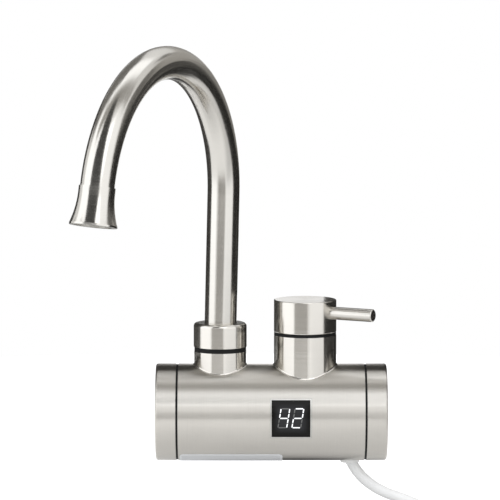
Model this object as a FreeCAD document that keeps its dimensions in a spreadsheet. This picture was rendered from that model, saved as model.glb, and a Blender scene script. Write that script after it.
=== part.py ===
import FreeCAD, Part
import math
import os

import Sketcher

# Wall-mounted electric heater tap, in millimetres.
# The origin is where the inlet thread enters the wall: +X runs right along the body, -Y points to the
# person using the tap, +Z is up, and the wall is the plane y = 0.

doc = FreeCAD.newDocument("HeaterTap")
sheet = doc.addObject("Spreadsheet::Sheet", "Sizes")
vector = FreeCAD.Vector


# Driving dimensions

class Size:
    """A length or an angle: its number now, and the formula over the sheet's cells that gives it."""

    def __init__(self, number, formula):
        self.number = number
        self.formula = formula

    def joined(self, sign, other, number):
        return Size(number, f"({self.formula} {sign} {other.formula})")

    def __add__(self, other):
        other = as_size(other)
        return self.joined("+", other, self.number + other.number)

    def __radd__(self, other):
        return as_size(other) + self

    def __sub__(self, other):
        other = as_size(other)
        return self.joined("-", other, self.number - other.number)

    def __rsub__(self, other):
        return as_size(other) - self

    def __mul__(self, other):
        other = as_size(other)
        return self.joined("*", other, self.number * other.number)

    def __truediv__(self, other):
        other = as_size(other)
        return self.joined("/", other, self.number / other.number)

    def __neg__(self):
        return Size(-self.number, f"(0 - {self.formula})")


def as_size(value):
    """A Size from a Size or a plain number."""
    return value if isinstance(value, Size) else Size(float(value), repr(float(value)))


def sine(angle):
    """The sine of an angle in degrees."""
    return Size(math.sin(math.radians(angle.number)), f"sin({angle.formula} * 1 deg)")


def cosine(angle):
    """The cosine of an angle in degrees."""
    return Size(math.cos(math.radians(angle.number)), f"cos({angle.formula} * 1 deg)")


sheet_rows = []


def dimension(name, number):
    """Write one driving dimension into the sheet and give it back as a Size."""
    sheet_rows.append(name)
    row = len(sheet_rows)
    sheet.set(f"A{row}", name.replace("_", " "))
    sheet.set(f"B{row}", str(number))
    sheet.setAlias(f"B{row}", name)
    return Size(float(number), f"Sizes.{name}")


# Body
body_diameter = dimension("body_diameter", 66.6)
body_stand = dimension("body_stand", 62)
left_reach = dimension("left_reach", 102.5)
right_reach = dimension("right_reach", 56)
shell_wall = dimension("shell_wall", 1.2)
cap_width = dimension("cap_width", 13.9)
cap_face = dimension("cap_face", 2)
cap_rounding = dimension("cap_rounding", 1.6)
spigot_length = dimension("spigot_length", 8)
spigot_wall = dimension("spigot_wall", 1.6)
seam_width = dimension("seam_width", 1.5)
seam_recess = dimension("seam_recess", 0.5)
neck_wall = dimension("neck_wall", 1.8)
saddle_rounding = dimension("saddle_rounding", 1.2)
fit_clearance = dimension("fit_clearance", 0.1)
running_clearance = dimension("running_clearance", 0.05)
turning_gap = dimension("turning_gap", 0.3)

# Spout
riser_share = dimension("riser_share", 0.56868)
spout_neck_diameter = dimension("spout_neck_diameter", 35.8)
spout_neck_height = dimension("spout_neck_height", 9.2)
ring_height = dimension("ring_height", 2.9)
ring_recess = dimension("ring_recess", 0.15)
collar_diameter = dimension("collar_diameter", 36.5)
collar_height = dimension("collar_height", 16.3)
collar_rounding = dimension("collar_rounding", 2.2)
collar_web = dimension("collar_web", 2)
spigot_boss = dimension("spigot_boss", 4.3)
tube_diameter = dimension("tube_diameter", 22)
tube_wall = dimension("tube_wall", 1)
riser_length = dimension("riser_length", 99.4)
bend_radius = dimension("bend_radius", 92.6)
bend_angle = dimension("bend_angle", 169)
spout_heading = dimension("spout_heading", 244.6)
riser_lean = dimension("riser_lean", 1.5)
nozzle_length = dimension("nozzle_length", 25)
nozzle_wall = dimension("nozzle_wall", 0.7)
nozzle_outlet = dimension("nozzle_outlet", 30.7)
nozzle_straight = dimension("nozzle_straight", 3)
nozzle_flare = dimension("nozzle_flare", 60)
nozzle_lip = dimension("nozzle_lip", 1.2)
nozzle_socket = dimension("nozzle_socket", 8)
aerator_diameter = dimension("aerator_diameter", 23)
aerator_height = dimension("aerator_height", 11)
aerator_recess = dimension("aerator_recess", 1.5)
aerator_hole = dimension("aerator_hole", 1.6)
washer_height = dimension("washer_height", 1.5)
socket_wall = dimension("socket_wall", 3.4)
socket_floor = dimension("socket_floor", 1.6)
water_bore = dimension("water_bore", 15)
bush_height = dimension("bush_height", 2)
bush_wall = dimension("bush_wall", 1.6)
o_ring_thickness = dimension("o_ring_thickness", 1.8)
o_ring_spacing = dimension("o_ring_spacing", 2.7)
groove_land = dimension("groove_land", 0.4)
lock_screw_diameter = dimension("lock_screw_diameter", 3)
lock_screw_drop = dimension("lock_screw_drop", 4.8)
lock_groove_depth = dimension("lock_groove_depth", 1.6)

# Turret, cartridge and handle
turret_diameter = dimension("turret_diameter", 42.9)
turret_neck_height = dimension("turret_neck_height", 20.5)
handle_gap = dimension("handle_gap", 2)
handle_height = dimension("handle_height", 22.2)
handle_rounding = dimension("handle_rounding", 0.7)
handle_wall = dimension("handle_wall", 3)
handle_cavity = dimension("handle_cavity", 6)
lever_diameter = dimension("lever_diameter", 8.75)
lever_reach = dimension("lever_reach", 52.4)
lever_height = dimension("lever_height", 13.95)
lever_depth = dimension("lever_depth", 10)
lever_chamfer = dimension("lever_chamfer", 0.6)
lever_heading = dimension("lever_heading", 29)
grub_diameter = dimension("grub_diameter", 4)
stem_diameter = dimension("stem_diameter", 10)
stem_engagement = dimension("stem_engagement", 11)
stem_flange_height = dimension("stem_flange_height", 4)
seat_height = dimension("seat_height", 20)
cartridge_diameter = dimension("cartridge_diameter", 26)
cartridge_height = dimension("cartridge_height", 26)
cartridge_wall = dimension("cartridge_wall", 1.8)
cartridge_flange = dimension("cartridge_flange", 2)
cup_height = dimension("cup_height", 18)
cup_wall = dimension("cup_wall", 4.9)
nut_wall = dimension("nut_wall", 1.4)
nut_skirt = dimension("nut_skirt", 9)
seal_height = dimension("seal_height", 1.5)
fixed_disc_height = dimension("fixed_disc_height", 3.5)
moving_disc_height = dimension("moving_disc_height", 3)
port_diameter = dimension("port_diameter", 5)

# Valve block and inlet
valve_width = dimension("valve_width", 30)
valve_depth = dimension("valve_depth", 32)
valve_bottom = dimension("valve_bottom", 13)
valve_top = dimension("valve_top", 16)
port_spread = dimension("port_spread", 6)
inlet_setback = dimension("inlet_setback", 2)
thread_diameter = dimension("thread_diameter", 20.96)
thread_engagement = dimension("thread_engagement", 10)
wall_thread_length = dimension("wall_thread_length", 14)
thread_relief = dimension("thread_relief", 0.6)
collar_flats = dimension("collar_flats", 27)
collar_thickness = dimension("collar_thickness", 7)
saddle_diameter = dimension("saddle_diameter", 32)
saddle_stand = dimension("saddle_stand", 2.5)
inlet_washer_height = dimension("inlet_washer_height", 1.5)
rosette_diameter = dimension("rosette_diameter", 50)
rosette_height = dimension("rosette_height", 5)
rosette_wall = dimension("rosette_wall", 1.2)
rosette_rounding = dimension("rosette_rounding", 2)
strainer_height = dimension("strainer_height", 4)
strainer_hole = dimension("strainer_hole", 2.4)

# Flow switch and heater
flow_length = dimension("flow_length", 17)
flow_diameter = dimension("flow_diameter", 24)
flow_bore = dimension("flow_bore", 16)
plunger_length = dimension("plunger_length", 8)
plunger_bore = dimension("plunger_bore", 6)
reed_length = dimension("reed_length", 13)
reed_width = dimension("reed_width", 6)
reed_height = dimension("reed_height", 4)
reed_seat = dimension("reed_seat", 0.4)
tank_diameter = dimension("tank_diameter", 52)
tank_length = dimension("tank_length", 48)
tank_wall = dimension("tank_wall", 1)
tank_flange_reach = dimension("tank_flange_reach", 3.4)
tank_flange_thickness = dimension("tank_flange_thickness", 2)
tank_seal_thickness = dimension("tank_seal_thickness", 1)
plate_thickness = dimension("plate_thickness", 4)
tank_boss_diameter = dimension("tank_boss_diameter", 26)
tank_boss_rise = dimension("tank_boss_rise", 2.5)
tank_screw_diameter = dimension("tank_screw_diameter", 2.5)
tank_screw_head = dimension("tank_screw_head", 1.6)
tank_screw_head_diameter = dimension("tank_screw_head_diameter", 4.5)
element_diameter = dimension("element_diameter", 4.4)
element_spacing = dimension("element_spacing", 8)
element_drop = dimension("element_drop", 16.5)
element_inset = dimension("element_inset", 8)
element_pin = dimension("element_pin", 3)
probe_diameter = dimension("probe_diameter", 5)
probe_reach = dimension("probe_reach", 18)
probe_head = dimension("probe_head", 4)
probe_head_diameter = dimension("probe_head_diameter", 9)
probe_spread = dimension("probe_spread", 12)
cutout_diameter = dimension("cutout_diameter", 15)
cutout_height = dimension("cutout_height", 6)

# Display
window_width = dimension("window_width", 26.4)
window_height = dimension("window_height", 25.4)
window_offset = dimension("window_offset", 10)
window_thickness = dimension("window_thickness", 1.5)
window_recess = dimension("window_recess", 0.25)
bezel_width = dimension("bezel_width", 0.9)
bezel_proud = dimension("bezel_proud", 0.15)
bezel_depth = dimension("bezel_depth", 9)
led_depth = dimension("led_depth", 6)
led_margin = dimension("led_margin", 0.4)
led_setback = dimension("led_setback", 4.5)
display_board_overlap = dimension("display_board_overlap", 2)
board_thickness = dimension("board_thickness", 1.6)

# Electrics
bracket_thickness = dimension("bracket_thickness", 1.5)
bracket_margin = dimension("bracket_margin", 1)
standoff_length = dimension("standoff_length", 6)
standoff_diameter = dimension("standoff_diameter", 5)
standoff_inset = dimension("standoff_inset", 4)
board_width = dimension("board_width", 34)
board_drop = dimension("board_drop", 23)
board_rise = dimension("board_rise", 16)
relay_length = dimension("relay_length", 15)
relay_width = dimension("relay_width", 26)
relay_height = dimension("relay_height", 18)
terminal_drop = dimension("terminal_drop", 20)
terminal_length = dimension("terminal_length", 12)
terminal_width = dimension("terminal_width", 30)
terminal_height = dimension("terminal_height", 11)
lead_diameter = dimension("lead_diameter", 3)
core_diameter = dimension("core_diameter", 2)
core_spacing = dimension("core_spacing", 2.2)
cap_screw_diameter = dimension("cap_screw_diameter", 3)
cap_screw_head_diameter = dimension("cap_screw_head_diameter", 5.5)
cap_screw_head_height = dimension("cap_screw_head_height", 1.6)
cap_screw_inset = dimension("cap_screw_inset", 5)

# Label
label_length = dimension("label_length", 70.5)
label_inset = dimension("label_inset", 1)
label_angle = dimension("label_angle", 48)
label_start = dimension("label_start", 51.7)
label_thickness = dimension("label_thickness", 0.25)
label_corner = dimension("label_corner", 3)

# Cord
cord_diameter = dimension("cord_diameter", 7.5)
cord_exit_tilt = dimension("cord_exit_tilt", 26)
cord_exit_offset = dimension("cord_exit_offset", 31)
grommet_diameter = dimension("grommet_diameter", 13)
grommet_flange = dimension("grommet_flange", 1.4)
grommet_neck_wall = dimension("grommet_neck_wall", 2.2)
grommet_inner = dimension("grommet_inner", 0.8)
stop_diameter = dimension("stop_diameter", 11)
stop_height = dimension("stop_height", 3)
coil_radius = dimension("coil_radius", 42)
coil_pitch = dimension("coil_pitch", 8.4)
coil_rise = dimension("coil_rise", 8.4)
tie_width = dimension("tie_width", 10)
tie_wall = dimension("tie_wall", 1.2)
tie_clearance = dimension("tie_clearance", 0.45)
plug_diameter = dimension("plug_diameter", 36.8)
plug_face_length = dimension("plug_face_length", 20)
plug_taper_length = dimension("plug_taper_length", 18)
plug_neck_length = dimension("plug_neck_length", 12)
plug_neck_diameter = dimension("plug_neck_diameter", 13)
pin_diameter = dimension("pin_diameter", 4.8)
pin_length = dimension("pin_length", 19)
pin_spacing = dimension("pin_spacing", 19)
pin_root = dimension("pin_root", 6)
earth_width = dimension("earth_width", 6)
earth_depth = dimension("earth_depth", 3)
earth_thickness = dimension("earth_thickness", 1)

doc.recompute()

# Places that many pieces share
body_radius = body_diameter / 2
bore_radius = body_radius - shell_wall
axis_y = -body_stand
left_end = -left_reach
shell_left = left_end + cap_width + seam_width
shell_right = right_reach - cap_width - seam_width
shell_length = shell_right - shell_left
spigot_radius = bore_radius - fit_clearance
riser_x = left_end * riser_share
neck_top = body_radius + spout_neck_height
collar_bottom = neck_top + ring_height + turning_gap
turret_radius = turret_diameter / 2
turret_top = body_radius + turret_neck_height
handle_bottom = turret_top + handle_gap
tube_radius = tube_diameter / 2
cord_radius = cord_diameter / 2
zero = as_size(0)

# How far a cutting tool goes, over the size of what it cuts
OVERSHOOT = 1.1


# Making and placing pieces

nodes = []


def keep(piece, label):
    """Name a finished piece and list it for export."""
    piece.Label = label
    nodes.append(piece)
    return piece


def bind(item, **sizes):
    """Tie properties of an object to formulas over the sheet."""
    for name, size in sizes.items():
        item.setExpression(name, as_size(size).formula)


def place(item, x=zero, y=zero, z=zero, axis=None, angle=None):
    """Place an object, turned about an axis by an angle in degrees."""
    if axis is not None:
        item.Placement = FreeCAD.Placement(vector(), FreeCAD.Rotation(axis, as_size(angle).number))
        if isinstance(angle, Size):
            item.setExpression("Placement.Rotation.Angle", angle.formula)
    for name, size in (("x", x), ("y", y), ("z", z)):
        item.setExpression(f"Placement.Base.{name}", as_size(size).formula)
    return item


AXIS_TURNS = {"x": (vector(0, 1, 0), 90), "y": (vector(1, 0, 0), -90), "z": (None, None)}


def box(x_span, y_span, z_span, name="block"):
    """A block between three pairs of limits."""
    block = doc.addObject("Part::Box", name)
    bind(block, Length=x_span[1] - x_span[0], Width=y_span[1] - y_span[0], Height=z_span[1] - z_span[0])
    return place(block, x_span[0], y_span[0], z_span[0])


def rod(radius, axis, start, length, name="rod"):
    """A cylinder that runs a length along x, y or z from the centre of its first face."""
    cylinder = doc.addObject("Part::Cylinder", name)
    bind(cylinder, Radius=radius, Height=length)
    turn_axis, turn = AXIS_TURNS[axis]
    return place(cylinder, start[0], start[1], start[2], turn_axis, turn)


def fused(*pieces, name="fused"):
    """Several solids joined into one."""
    fuse = doc.addObject("Part::MultiFuse", name)
    fuse.Shapes = list(pieces)
    fuse.Refine = True
    return fuse


def cut(base, *tools, name="cut"):
    """A solid with tools taken out of it."""
    result = doc.addObject("Part::Cut", name)
    result.Base = base
    result.Tool = tools[0] if len(tools) == 1 else fused(*tools, name=name + "_tools")
    return result


def common(first, second, name="common"):
    """What two solids share."""
    result = doc.addObject("Part::Common", name)
    result.Base = first
    result.Tool = second
    return result


def grouped(*pieces, name="group"):
    """Separate solids kept together in one node."""
    group = doc.addObject("Part::Compound", name)
    group.Links = list(pieces)
    return group


def ring(outer, inner, axis, start, length, name="ring"):
    """A plain ring along an axis."""
    margin = length / 2
    step = {"x": (margin, zero, zero), "y": (zero, margin, zero), "z": (zero, zero, margin)}[axis]
    bore_start = [begin - back for begin, back in zip(start, step)]
    return cut(
        rod(outer, axis, start, length, name),
        rod(inner, axis, bore_start, length * 2, name + "_bore"),
        name=name,
    )


def origin_plane(body, role):
    """One of a body's own origin planes."""
    return next(item for item in body.Origin.OriginFeatures if item.Role == role)


def new_sketch(body, role, offset=zero):
    """A sketch on an origin plane of its body, moved along the plane's normal."""
    sketch = body.newObject("Sketcher::SketchObject", body.Name + "_sketch")
    sketch.AttachmentSupport = (origin_plane(body, role), [""])
    sketch.MapMode = "FlatFace"
    sketch.setExpression("AttachmentOffset.Base.z", offset.formula)
    return sketch


def constrain(sketch, kind, *where, size):
    """Add one sized constraint and tie it to its formula."""
    size = as_size(size)
    index = sketch.addConstraint(Sketcher.Constraint(kind, *where, size.number))
    if "Sizes." in size.formula:
        sketch.setExpression(f"Constraints[{index}]", size.formula)


def pin_point(sketch, edge, end, u, v):
    """Hold a point of a sketch at a place measured from the sketch's origin."""
    constrain(sketch, "DistanceX", -1, 1, edge, end, size=u)
    constrain(sketch, "DistanceY", -1, 1, edge, end, size=v)


def circle_in(sketch, radius, u=zero, v=zero):
    """Add a circle to a sketch."""
    u = as_size(u)
    v = as_size(v)
    circle = Part.Circle(vector(u.number, v.number, 0), vector(0, 0, 1), radius.number)
    edge = sketch.addGeometry(circle, False)
    constrain(sketch, "Radius", edge, size=radius)
    pin_point(sketch, edge, 3, u, v)


def outline_in(sketch, points, arcs=None):
    """Add a closed outline; arcs gives the radius of each edge that curves inward, by the edge's number."""
    arcs = arcs or {}
    points = [(as_size(u), as_size(v)) for u, v in points]
    count = len(points)
    for index in range(count):
        start = vector(points[index][0].number, points[index][1].number, 0)
        after = points[(index + 1) % count]
        end = vector(after[0].number, after[1].number, 0)
        if index in arcs:
            sketch.addGeometry(hollow_arc(start, end, arcs[index].number), False)
        else:
            sketch.addGeometry(Part.LineSegment(start, end), False)
    ends = [arc_ends(sketch, edge, points[edge]) for edge in range(count)]
    for index in range(count):
        after = (index + 1) % count
        sketch.addConstraint(Sketcher.Constraint("Coincident", index, ends[index][1], after, ends[after][0]))
    for index, (u, v) in enumerate(points):
        pin_point(sketch, index, ends[index][0], u, v)
    for index, radius in arcs.items():
        constrain(sketch, "Radius", index, size=radius)


def hollow_arc(start, end, radius):
    """The short arc between two points of a sketch that bows to the left of the way between them."""
    chord = end - start
    middle = (start + end) / 2
    side = vector(-chord.y, chord.x, 0).normalize()
    sagitta = radius - math.sqrt(radius ** 2 - (chord.Length / 2) ** 2)
    return Part.Arc(start, middle + side * sagitta, end)


def arc_ends(sketch, edge, start):
    """Which ends of an edge come first and last along the outline."""
    first = sketch.getPoint(edge, 1)
    begins = (first - vector(start[0].number, start[1].number, 0)).Length < 1e-6
    return (1, 2) if begins else (2, 1)


def turned(points, name, arcs=None):
    """A turned piece: an outline of (radius, height) points spun about its own Z axis."""
    body = doc.addObject("PartDesign::Body", name)
    sketch = new_sketch(body, "XZ_Plane")
    outline_in(sketch, points, arcs)
    spin = body.newObject("PartDesign::Revolution", name + "_spin")
    spin.Profile = sketch
    spin.ReferenceAxis = (sketch, ["V_Axis"])
    spin.Angle = 360
    doc.recompute()
    return body


def rim_edges(shape, radius, height):
    """Names of the circular edges of a turned shape at a radius and a height."""
    names = []
    for index, edge in enumerate(shape.Edges):
        if not isinstance(edge.Curve, Part.Circle):
            continue
        same_radius = abs(edge.Curve.Radius - radius.number) < 1e-4
        if same_radius and abs(edge.Curve.Center.z - height.number) < 1e-4:
            names.append(f"Edge{index + 1}")
    return names


def rounded(body, amount, *rims):
    """Round rims, each a radius and a height, of a turned body."""
    base = body.Tip
    fillet = body.newObject("PartDesign::Fillet", body.Name + "_rounding")
    fillet.Base = (base, [name for radius, height in rims for name in rim_edges(base.Shape, radius, height)])
    bind(fillet, Radius=amount)
    doc.recompute()
    return body


def chamfered(body, amount, radius, height):
    """Break the edge of a rim of a turned body."""
    base = body.Tip
    chamfer = body.newObject("PartDesign::Chamfer", body.Name + "_chamfer")
    chamfer.Base = (base, rim_edges(base.Shape, radius, height))
    bind(chamfer, Size=amount)
    doc.recompute()
    return body


def pad(body, sketch, length):
    """Grow a body by a sketch along the sketch's normal."""
    feature = body.newObject("PartDesign::Pad", body.Name + "_pad")
    feature.Profile = sketch
    bind(feature, Length=length)
    doc.recompute()
    return feature


def pocket(body, sketch, length):
    """Cut a body by a sketch against the sketch's normal, and make sure that it took something away."""
    before = body.Shape.Volume
    feature = body.newObject("PartDesign::Pocket", body.Name + "_pocket")
    feature.Profile = sketch
    bind(feature, Length=length)
    doc.recompute()
    if body.Shape.Volume > before - 1e-6:
        raise ValueError(f"{body.Name}: a pocket cut nothing")
    return feature


# Tubes along routes

def corner_arc(start, corner, end):
    """The arc that leaves one run and joins the next, at equal distances from their corner."""
    middle = (start + end) / 2
    half_chord = (end - start).Length / 2
    slope = math.acos(half_chord / (corner - start).Length)
    return Part.Arc(start, middle + (corner - middle) * (math.tan(slope / 2) / math.tan(slope)), end)


def rounded_route(points, trims):
    """Straight runs joined by tangent arcs; trims says how much of the runs each corner's arc takes."""
    curves = []
    radii = []
    here = points[0]
    for before, corner, after, trim in zip(points, points[1:], points[2:], trims):
        way_in = (corner - before).normalize()
        way_out = (after - corner).normalize()
        start = corner - way_in * trim
        end = corner + way_out * trim
        if (start - here).Length > 1e-6:
            curves.append(Part.LineSegment(here, start))
        curves.append(corner_arc(start, corner, end))
        radii.append(trim / math.tan(way_in.getAngle(way_out) / 2))
        here = end
    curves.append(Part.LineSegment(here, points[-1]))
    return curves, radii


def swept_tube(curves, radius, name):
    """A round solid along tangent curves, compared with its section times its length."""
    spine = Part.Wire([curve.toShape() for curve in curves])
    start = curves[0].value(curves[0].FirstParameter)
    heading = curves[0].tangent(curves[0].FirstParameter)[0]
    section = Part.Wire([Part.Circle(start, heading, radius).toShape()])
    pipe = Part.BRepOffsetAPI.MakePipeShell(spine)
    pipe.add(section)
    pipe.build()
    pipe.makeSolid()
    tube = doc.addObject("Part::Feature", name)
    tube.Shape = pipe.shape()
    expected = math.pi * radius ** 2 * spine.Length
    print(f"{name}: length {spine.Length:.1f} mm, volume over section x length "
          f"{tube.Shape.Volume / expected:.4f}")
    return tube


# Body shell, end caps and label

def build_shell():
    """The steel tube with its two welded necks and all its openings."""
    body = doc.addObject("PartDesign::Body", "body_shell")
    barrel = new_sketch(body, "YZ_Plane", shell_left)
    circle_in(barrel, body_radius)
    pad(body, barrel, shell_length)
    necks = ((riser_x, spout_neck_diameter / 2, neck_top), (zero, turret_radius, turret_top))
    for x, radius, top in necks:
        neck = new_sketch(body, "XY_Plane")
        circle_in(neck, radius, x)
        pad(body, neck, top)

    round_saddles(body, necks)

    bore = new_sketch(body, "YZ_Plane", shell_right)
    circle_in(bore, bore_radius)
    pocket(body, bore, shell_length)
    for x, radius, top in necks:
        neck_bore = new_sketch(body, "XY_Plane", top)
        circle_in(neck_bore, radius - neck_wall, x)
        pocket(body, neck_bore, top)

    window = new_sketch(body, "XZ_Plane", body_radius * OVERSHOOT)
    half_width = window_width / 2 + bezel_width + fit_clearance
    half_height = window_height / 2 + bezel_width + fit_clearance
    left = -window_offset - half_width
    right = -window_offset + half_width
    corners = [(left, -half_height), (right, -half_height), (right, half_height), (left, half_height)]
    outline_in(window, corners)
    pocket(body, window, body_radius)

    grommet_hole = new_sketch(body, "XY_Plane")
    circle_in(grommet_hole, cord_radius + grommet_neck_wall + fit_clearance, cord_exit_offset)
    pocket(body, grommet_hole, body_radius * OVERSHOOT)

    back = new_sketch(body, "XZ_Plane")
    circle_in(back, thread_diameter / 2 + fit_clearance)
    for x in cap_screw_places():
        circle_in(back, cap_screw_diameter / 2 + fit_clearance, x)
    pocket(body, back, body_radius * OVERSHOOT)

    lock_hole = new_sketch(body, "XZ_Plane")
    circle_in(lock_hole, lock_screw_diameter / 2 + fit_clearance, riser_x, neck_top - lock_screw_drop)
    pocket(body, lock_hole, spout_neck_diameter)
    place(body, y=axis_y)
    keep(body, "body_shell")


def round_saddles(body, necks):
    """Round the weld where each neck meets the barrel."""
    base = body.Tip
    names = []
    for index, edge in enumerate(base.Shape.Edges):
        middle = edge.valueAt((edge.FirstParameter + edge.LastParameter) / 2)
        on_barrel = abs(math.hypot(middle.y, middle.z) - body_radius.number) < 1e-3
        on_neck = any(
            abs(math.hypot(middle.x - x.number, middle.y) - radius.number) < 1e-3 for x, radius, top in necks
        )
        if on_barrel and on_neck:
            names.append(f"Edge{index + 1}")
    fillet = body.newObject("PartDesign::Fillet", "saddle_rounding")
    fillet.Base = (base, names)
    bind(fillet, Radius=saddle_rounding)
    doc.recompute()


def cap_screw_places():
    """Where along the body the rear screws hold the two end caps."""
    return (shell_left + cap_screw_inset, shell_right - cap_screw_inset)


def build_caps():
    """The end caps, their gaskets and the rear screws that hold them."""
    rim = spigot_length + seam_width
    top = rim + cap_width
    inner = spigot_radius - spigot_wall
    outline = [
        (inner, zero), (spigot_radius, zero), (spigot_radius, rim), (body_radius, rim),
        (body_radius, top), (zero, top), (zero, top - cap_face), (inner, top - cap_face),
    ]
    screws = []
    gaskets = []
    sides = (("left", shell_left + spigot_length, -90), ("right", shell_right - spigot_length, 90))
    for (side, start, turn), screw_x in zip(sides, cap_screw_places()):
        cap = rounded(turned(outline, f"cap_{side}"), cap_rounding, (body_radius, top))
        place(cap, start, axis_y, zero, vector(0, 1, 0), turn)
        shank = rod(cap_screw_diameter / 2, "y", (screw_x, axis_y + inner, zero), body_radius - inner)
        head = rod(
            cap_screw_head_diameter / 2, "y", (screw_x, axis_y + body_radius, zero), cap_screw_head_height
        )
        screws.append(fused(shank, head, name=f"cap_screw_{side}"))
        openings = [rod(cap_screw_diameter / 2, "y", (screw_x, axis_y, zero), body_radius)]
        if side == "right":
            notch_start = (cord_exit_offset, axis_y, -body_radius)
            openings.append(rod(grommet_diameter / 2 + fit_clearance, "z", notch_start, body_radius))
        keep(cut(cap, *openings, name=f"end_cap_{side}"), f"end_cap_{side}")
        gasket_x = shell_left - seam_width if side == "left" else shell_right
        gaskets.append(ring(
            body_radius - seam_recess, spigot_radius + fit_clearance, "x", (gasket_x, axis_y, zero),
            seam_width, name=f"gasket_{side}",
        ))
    keep(grouped(*gaskets, name="gaskets"), "end_gaskets")
    keep(grouped(*screws, name="cap_screws"), "cap_screws")


def build_label():
    """The bare label that wraps under the front of the body."""
    body = doc.addObject("PartDesign::Body", "label")
    sketch = new_sketch(body, "XZ_Plane")
    inner = body_radius + running_clearance
    outer = inner + label_thickness
    outline_in(sketch, [(zero, inner), (label_length, inner), (label_length, outer), (zero, outer)])
    wrap = body.newObject("PartDesign::Revolution", "label_wrap")
    wrap.Profile = sketch
    wrap.ReferenceAxis = (sketch, ["H_Axis"])
    bind(wrap, Angle=label_angle)
    doc.recompute()
    corners = [
        f"Edge{index + 1}" for index, edge in enumerate(wrap.Shape.Edges)
        if abs(edge.Length - label_thickness.number) < 1e-4
    ]
    fillet = body.newObject("PartDesign::Fillet", "label_corners")
    fillet.Base = (wrap, corners)
    bind(fillet, Radius=label_corner)
    place(body, shell_left + label_inset, axis_y, zero, vector(1, 0, 0), label_start + 90)
    keep(body, "blank_label")


# Display

def build_display():
    """The display in the front of the body: bezel, window, lit module and its board."""
    centre_x = -window_offset

    def span(half):
        return (centre_x - half, centre_x + half)

    half_width = window_width / 2
    half_height = window_height / 2
    front = axis_y - body_radius * OVERSHOOT
    bezel_back = axis_y - body_radius + bezel_depth
    barrel_start = (centre_x - window_width, axis_y, zero)
    barrel_length = window_width * 2

    frame = box(
        span(half_width + bezel_width), (front, bezel_back),
        (-half_height - bezel_width, half_height + bezel_width), "bezel_block",
    )
    skin = rod(body_radius + bezel_proud, "x", barrel_start, barrel_length)
    opening = box(
        span(half_width), (front - bezel_depth, bezel_back + bezel_depth), (-half_height, half_height)
    )
    keep(cut(common(frame, skin), opening, name="bezel"), "display_bezel")

    lens_radius = body_radius - window_recess
    pane = box(
        span(half_width - fit_clearance), (front, bezel_back),
        (fit_clearance - half_height, half_height - fit_clearance), "pane",
    )
    lens_skin = ring(lens_radius, lens_radius - window_thickness, "x", barrel_start, barrel_length)
    keep(common(pane, lens_skin, name="window"), "display_window")

    led_front = axis_y - body_radius + led_setback
    led_back = led_front + led_depth
    led = box(
        span(half_width - led_margin), (led_front, led_back),
        (led_margin - half_height, half_height - led_margin), "led",
    )
    keep(led, "led_module")
    board = box(
        span(half_width + display_board_overlap), (led_back, led_back + board_thickness),
        (-half_height - display_board_overlap, half_height + display_board_overlap), "display_pcb",
    )
    keep(board, "display_board")


# Valve, cartridge and handle

def build_valve():
    """The brass block under the turret, with the cup that holds the cartridge."""
    half_width = valve_width / 2
    half_depth = valve_depth / 2
    cartridge_radius = cartridge_diameter / 2
    block = box(
        (-half_width, half_width), (axis_y - half_depth, axis_y + half_depth), (-valve_bottom, valve_top),
        "block",
    )
    cup = rod(
        cartridge_radius + cup_wall, "z", (zero, axis_y, valve_top), seat_height + cup_height - valve_top,
        "cup",
    )
    cartridge_bore = rod(
        cartridge_radius + fit_clearance, "z", (zero, axis_y, seat_height), cup_height * 2
    )
    thread = rod(
        thread_diameter / 2 + running_clearance, "y", (zero, axis_y + half_depth - thread_engagement, zero),
        valve_depth,
    )
    inlet = rod(water_bore / 2, "y", (zero, axis_y + inlet_setback, zero), valve_depth)
    inlet_port = rod(port_diameter / 2, "z", (zero, axis_y + port_spread, zero), seat_height + seal_height)
    outlet = rod(
        port_diameter, "x", (-valve_width, axis_y - port_spread, zero), valve_width - port_diameter / 2
    )
    outlet_port = rod(
        port_diameter / 2, "z", (-port_spread, axis_y - port_spread, zero), seat_height + seal_height
    )
    valve = cut(
        fused(block, cup), cartridge_bore, thread, inlet, inlet_port, outlet, outlet_port, name="valve"
    )
    keep(valve, "valve_block")


def port_holes(start, length):
    """Tools that open the inlet and outlet ports through a seal or a disc."""
    return [
        rod(port_diameter / 2, "z", (x, axis_y + y, start - length), length * 3)
        for x, y in ((zero, port_spread), (-port_spread, -port_spread))
    ]


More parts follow.
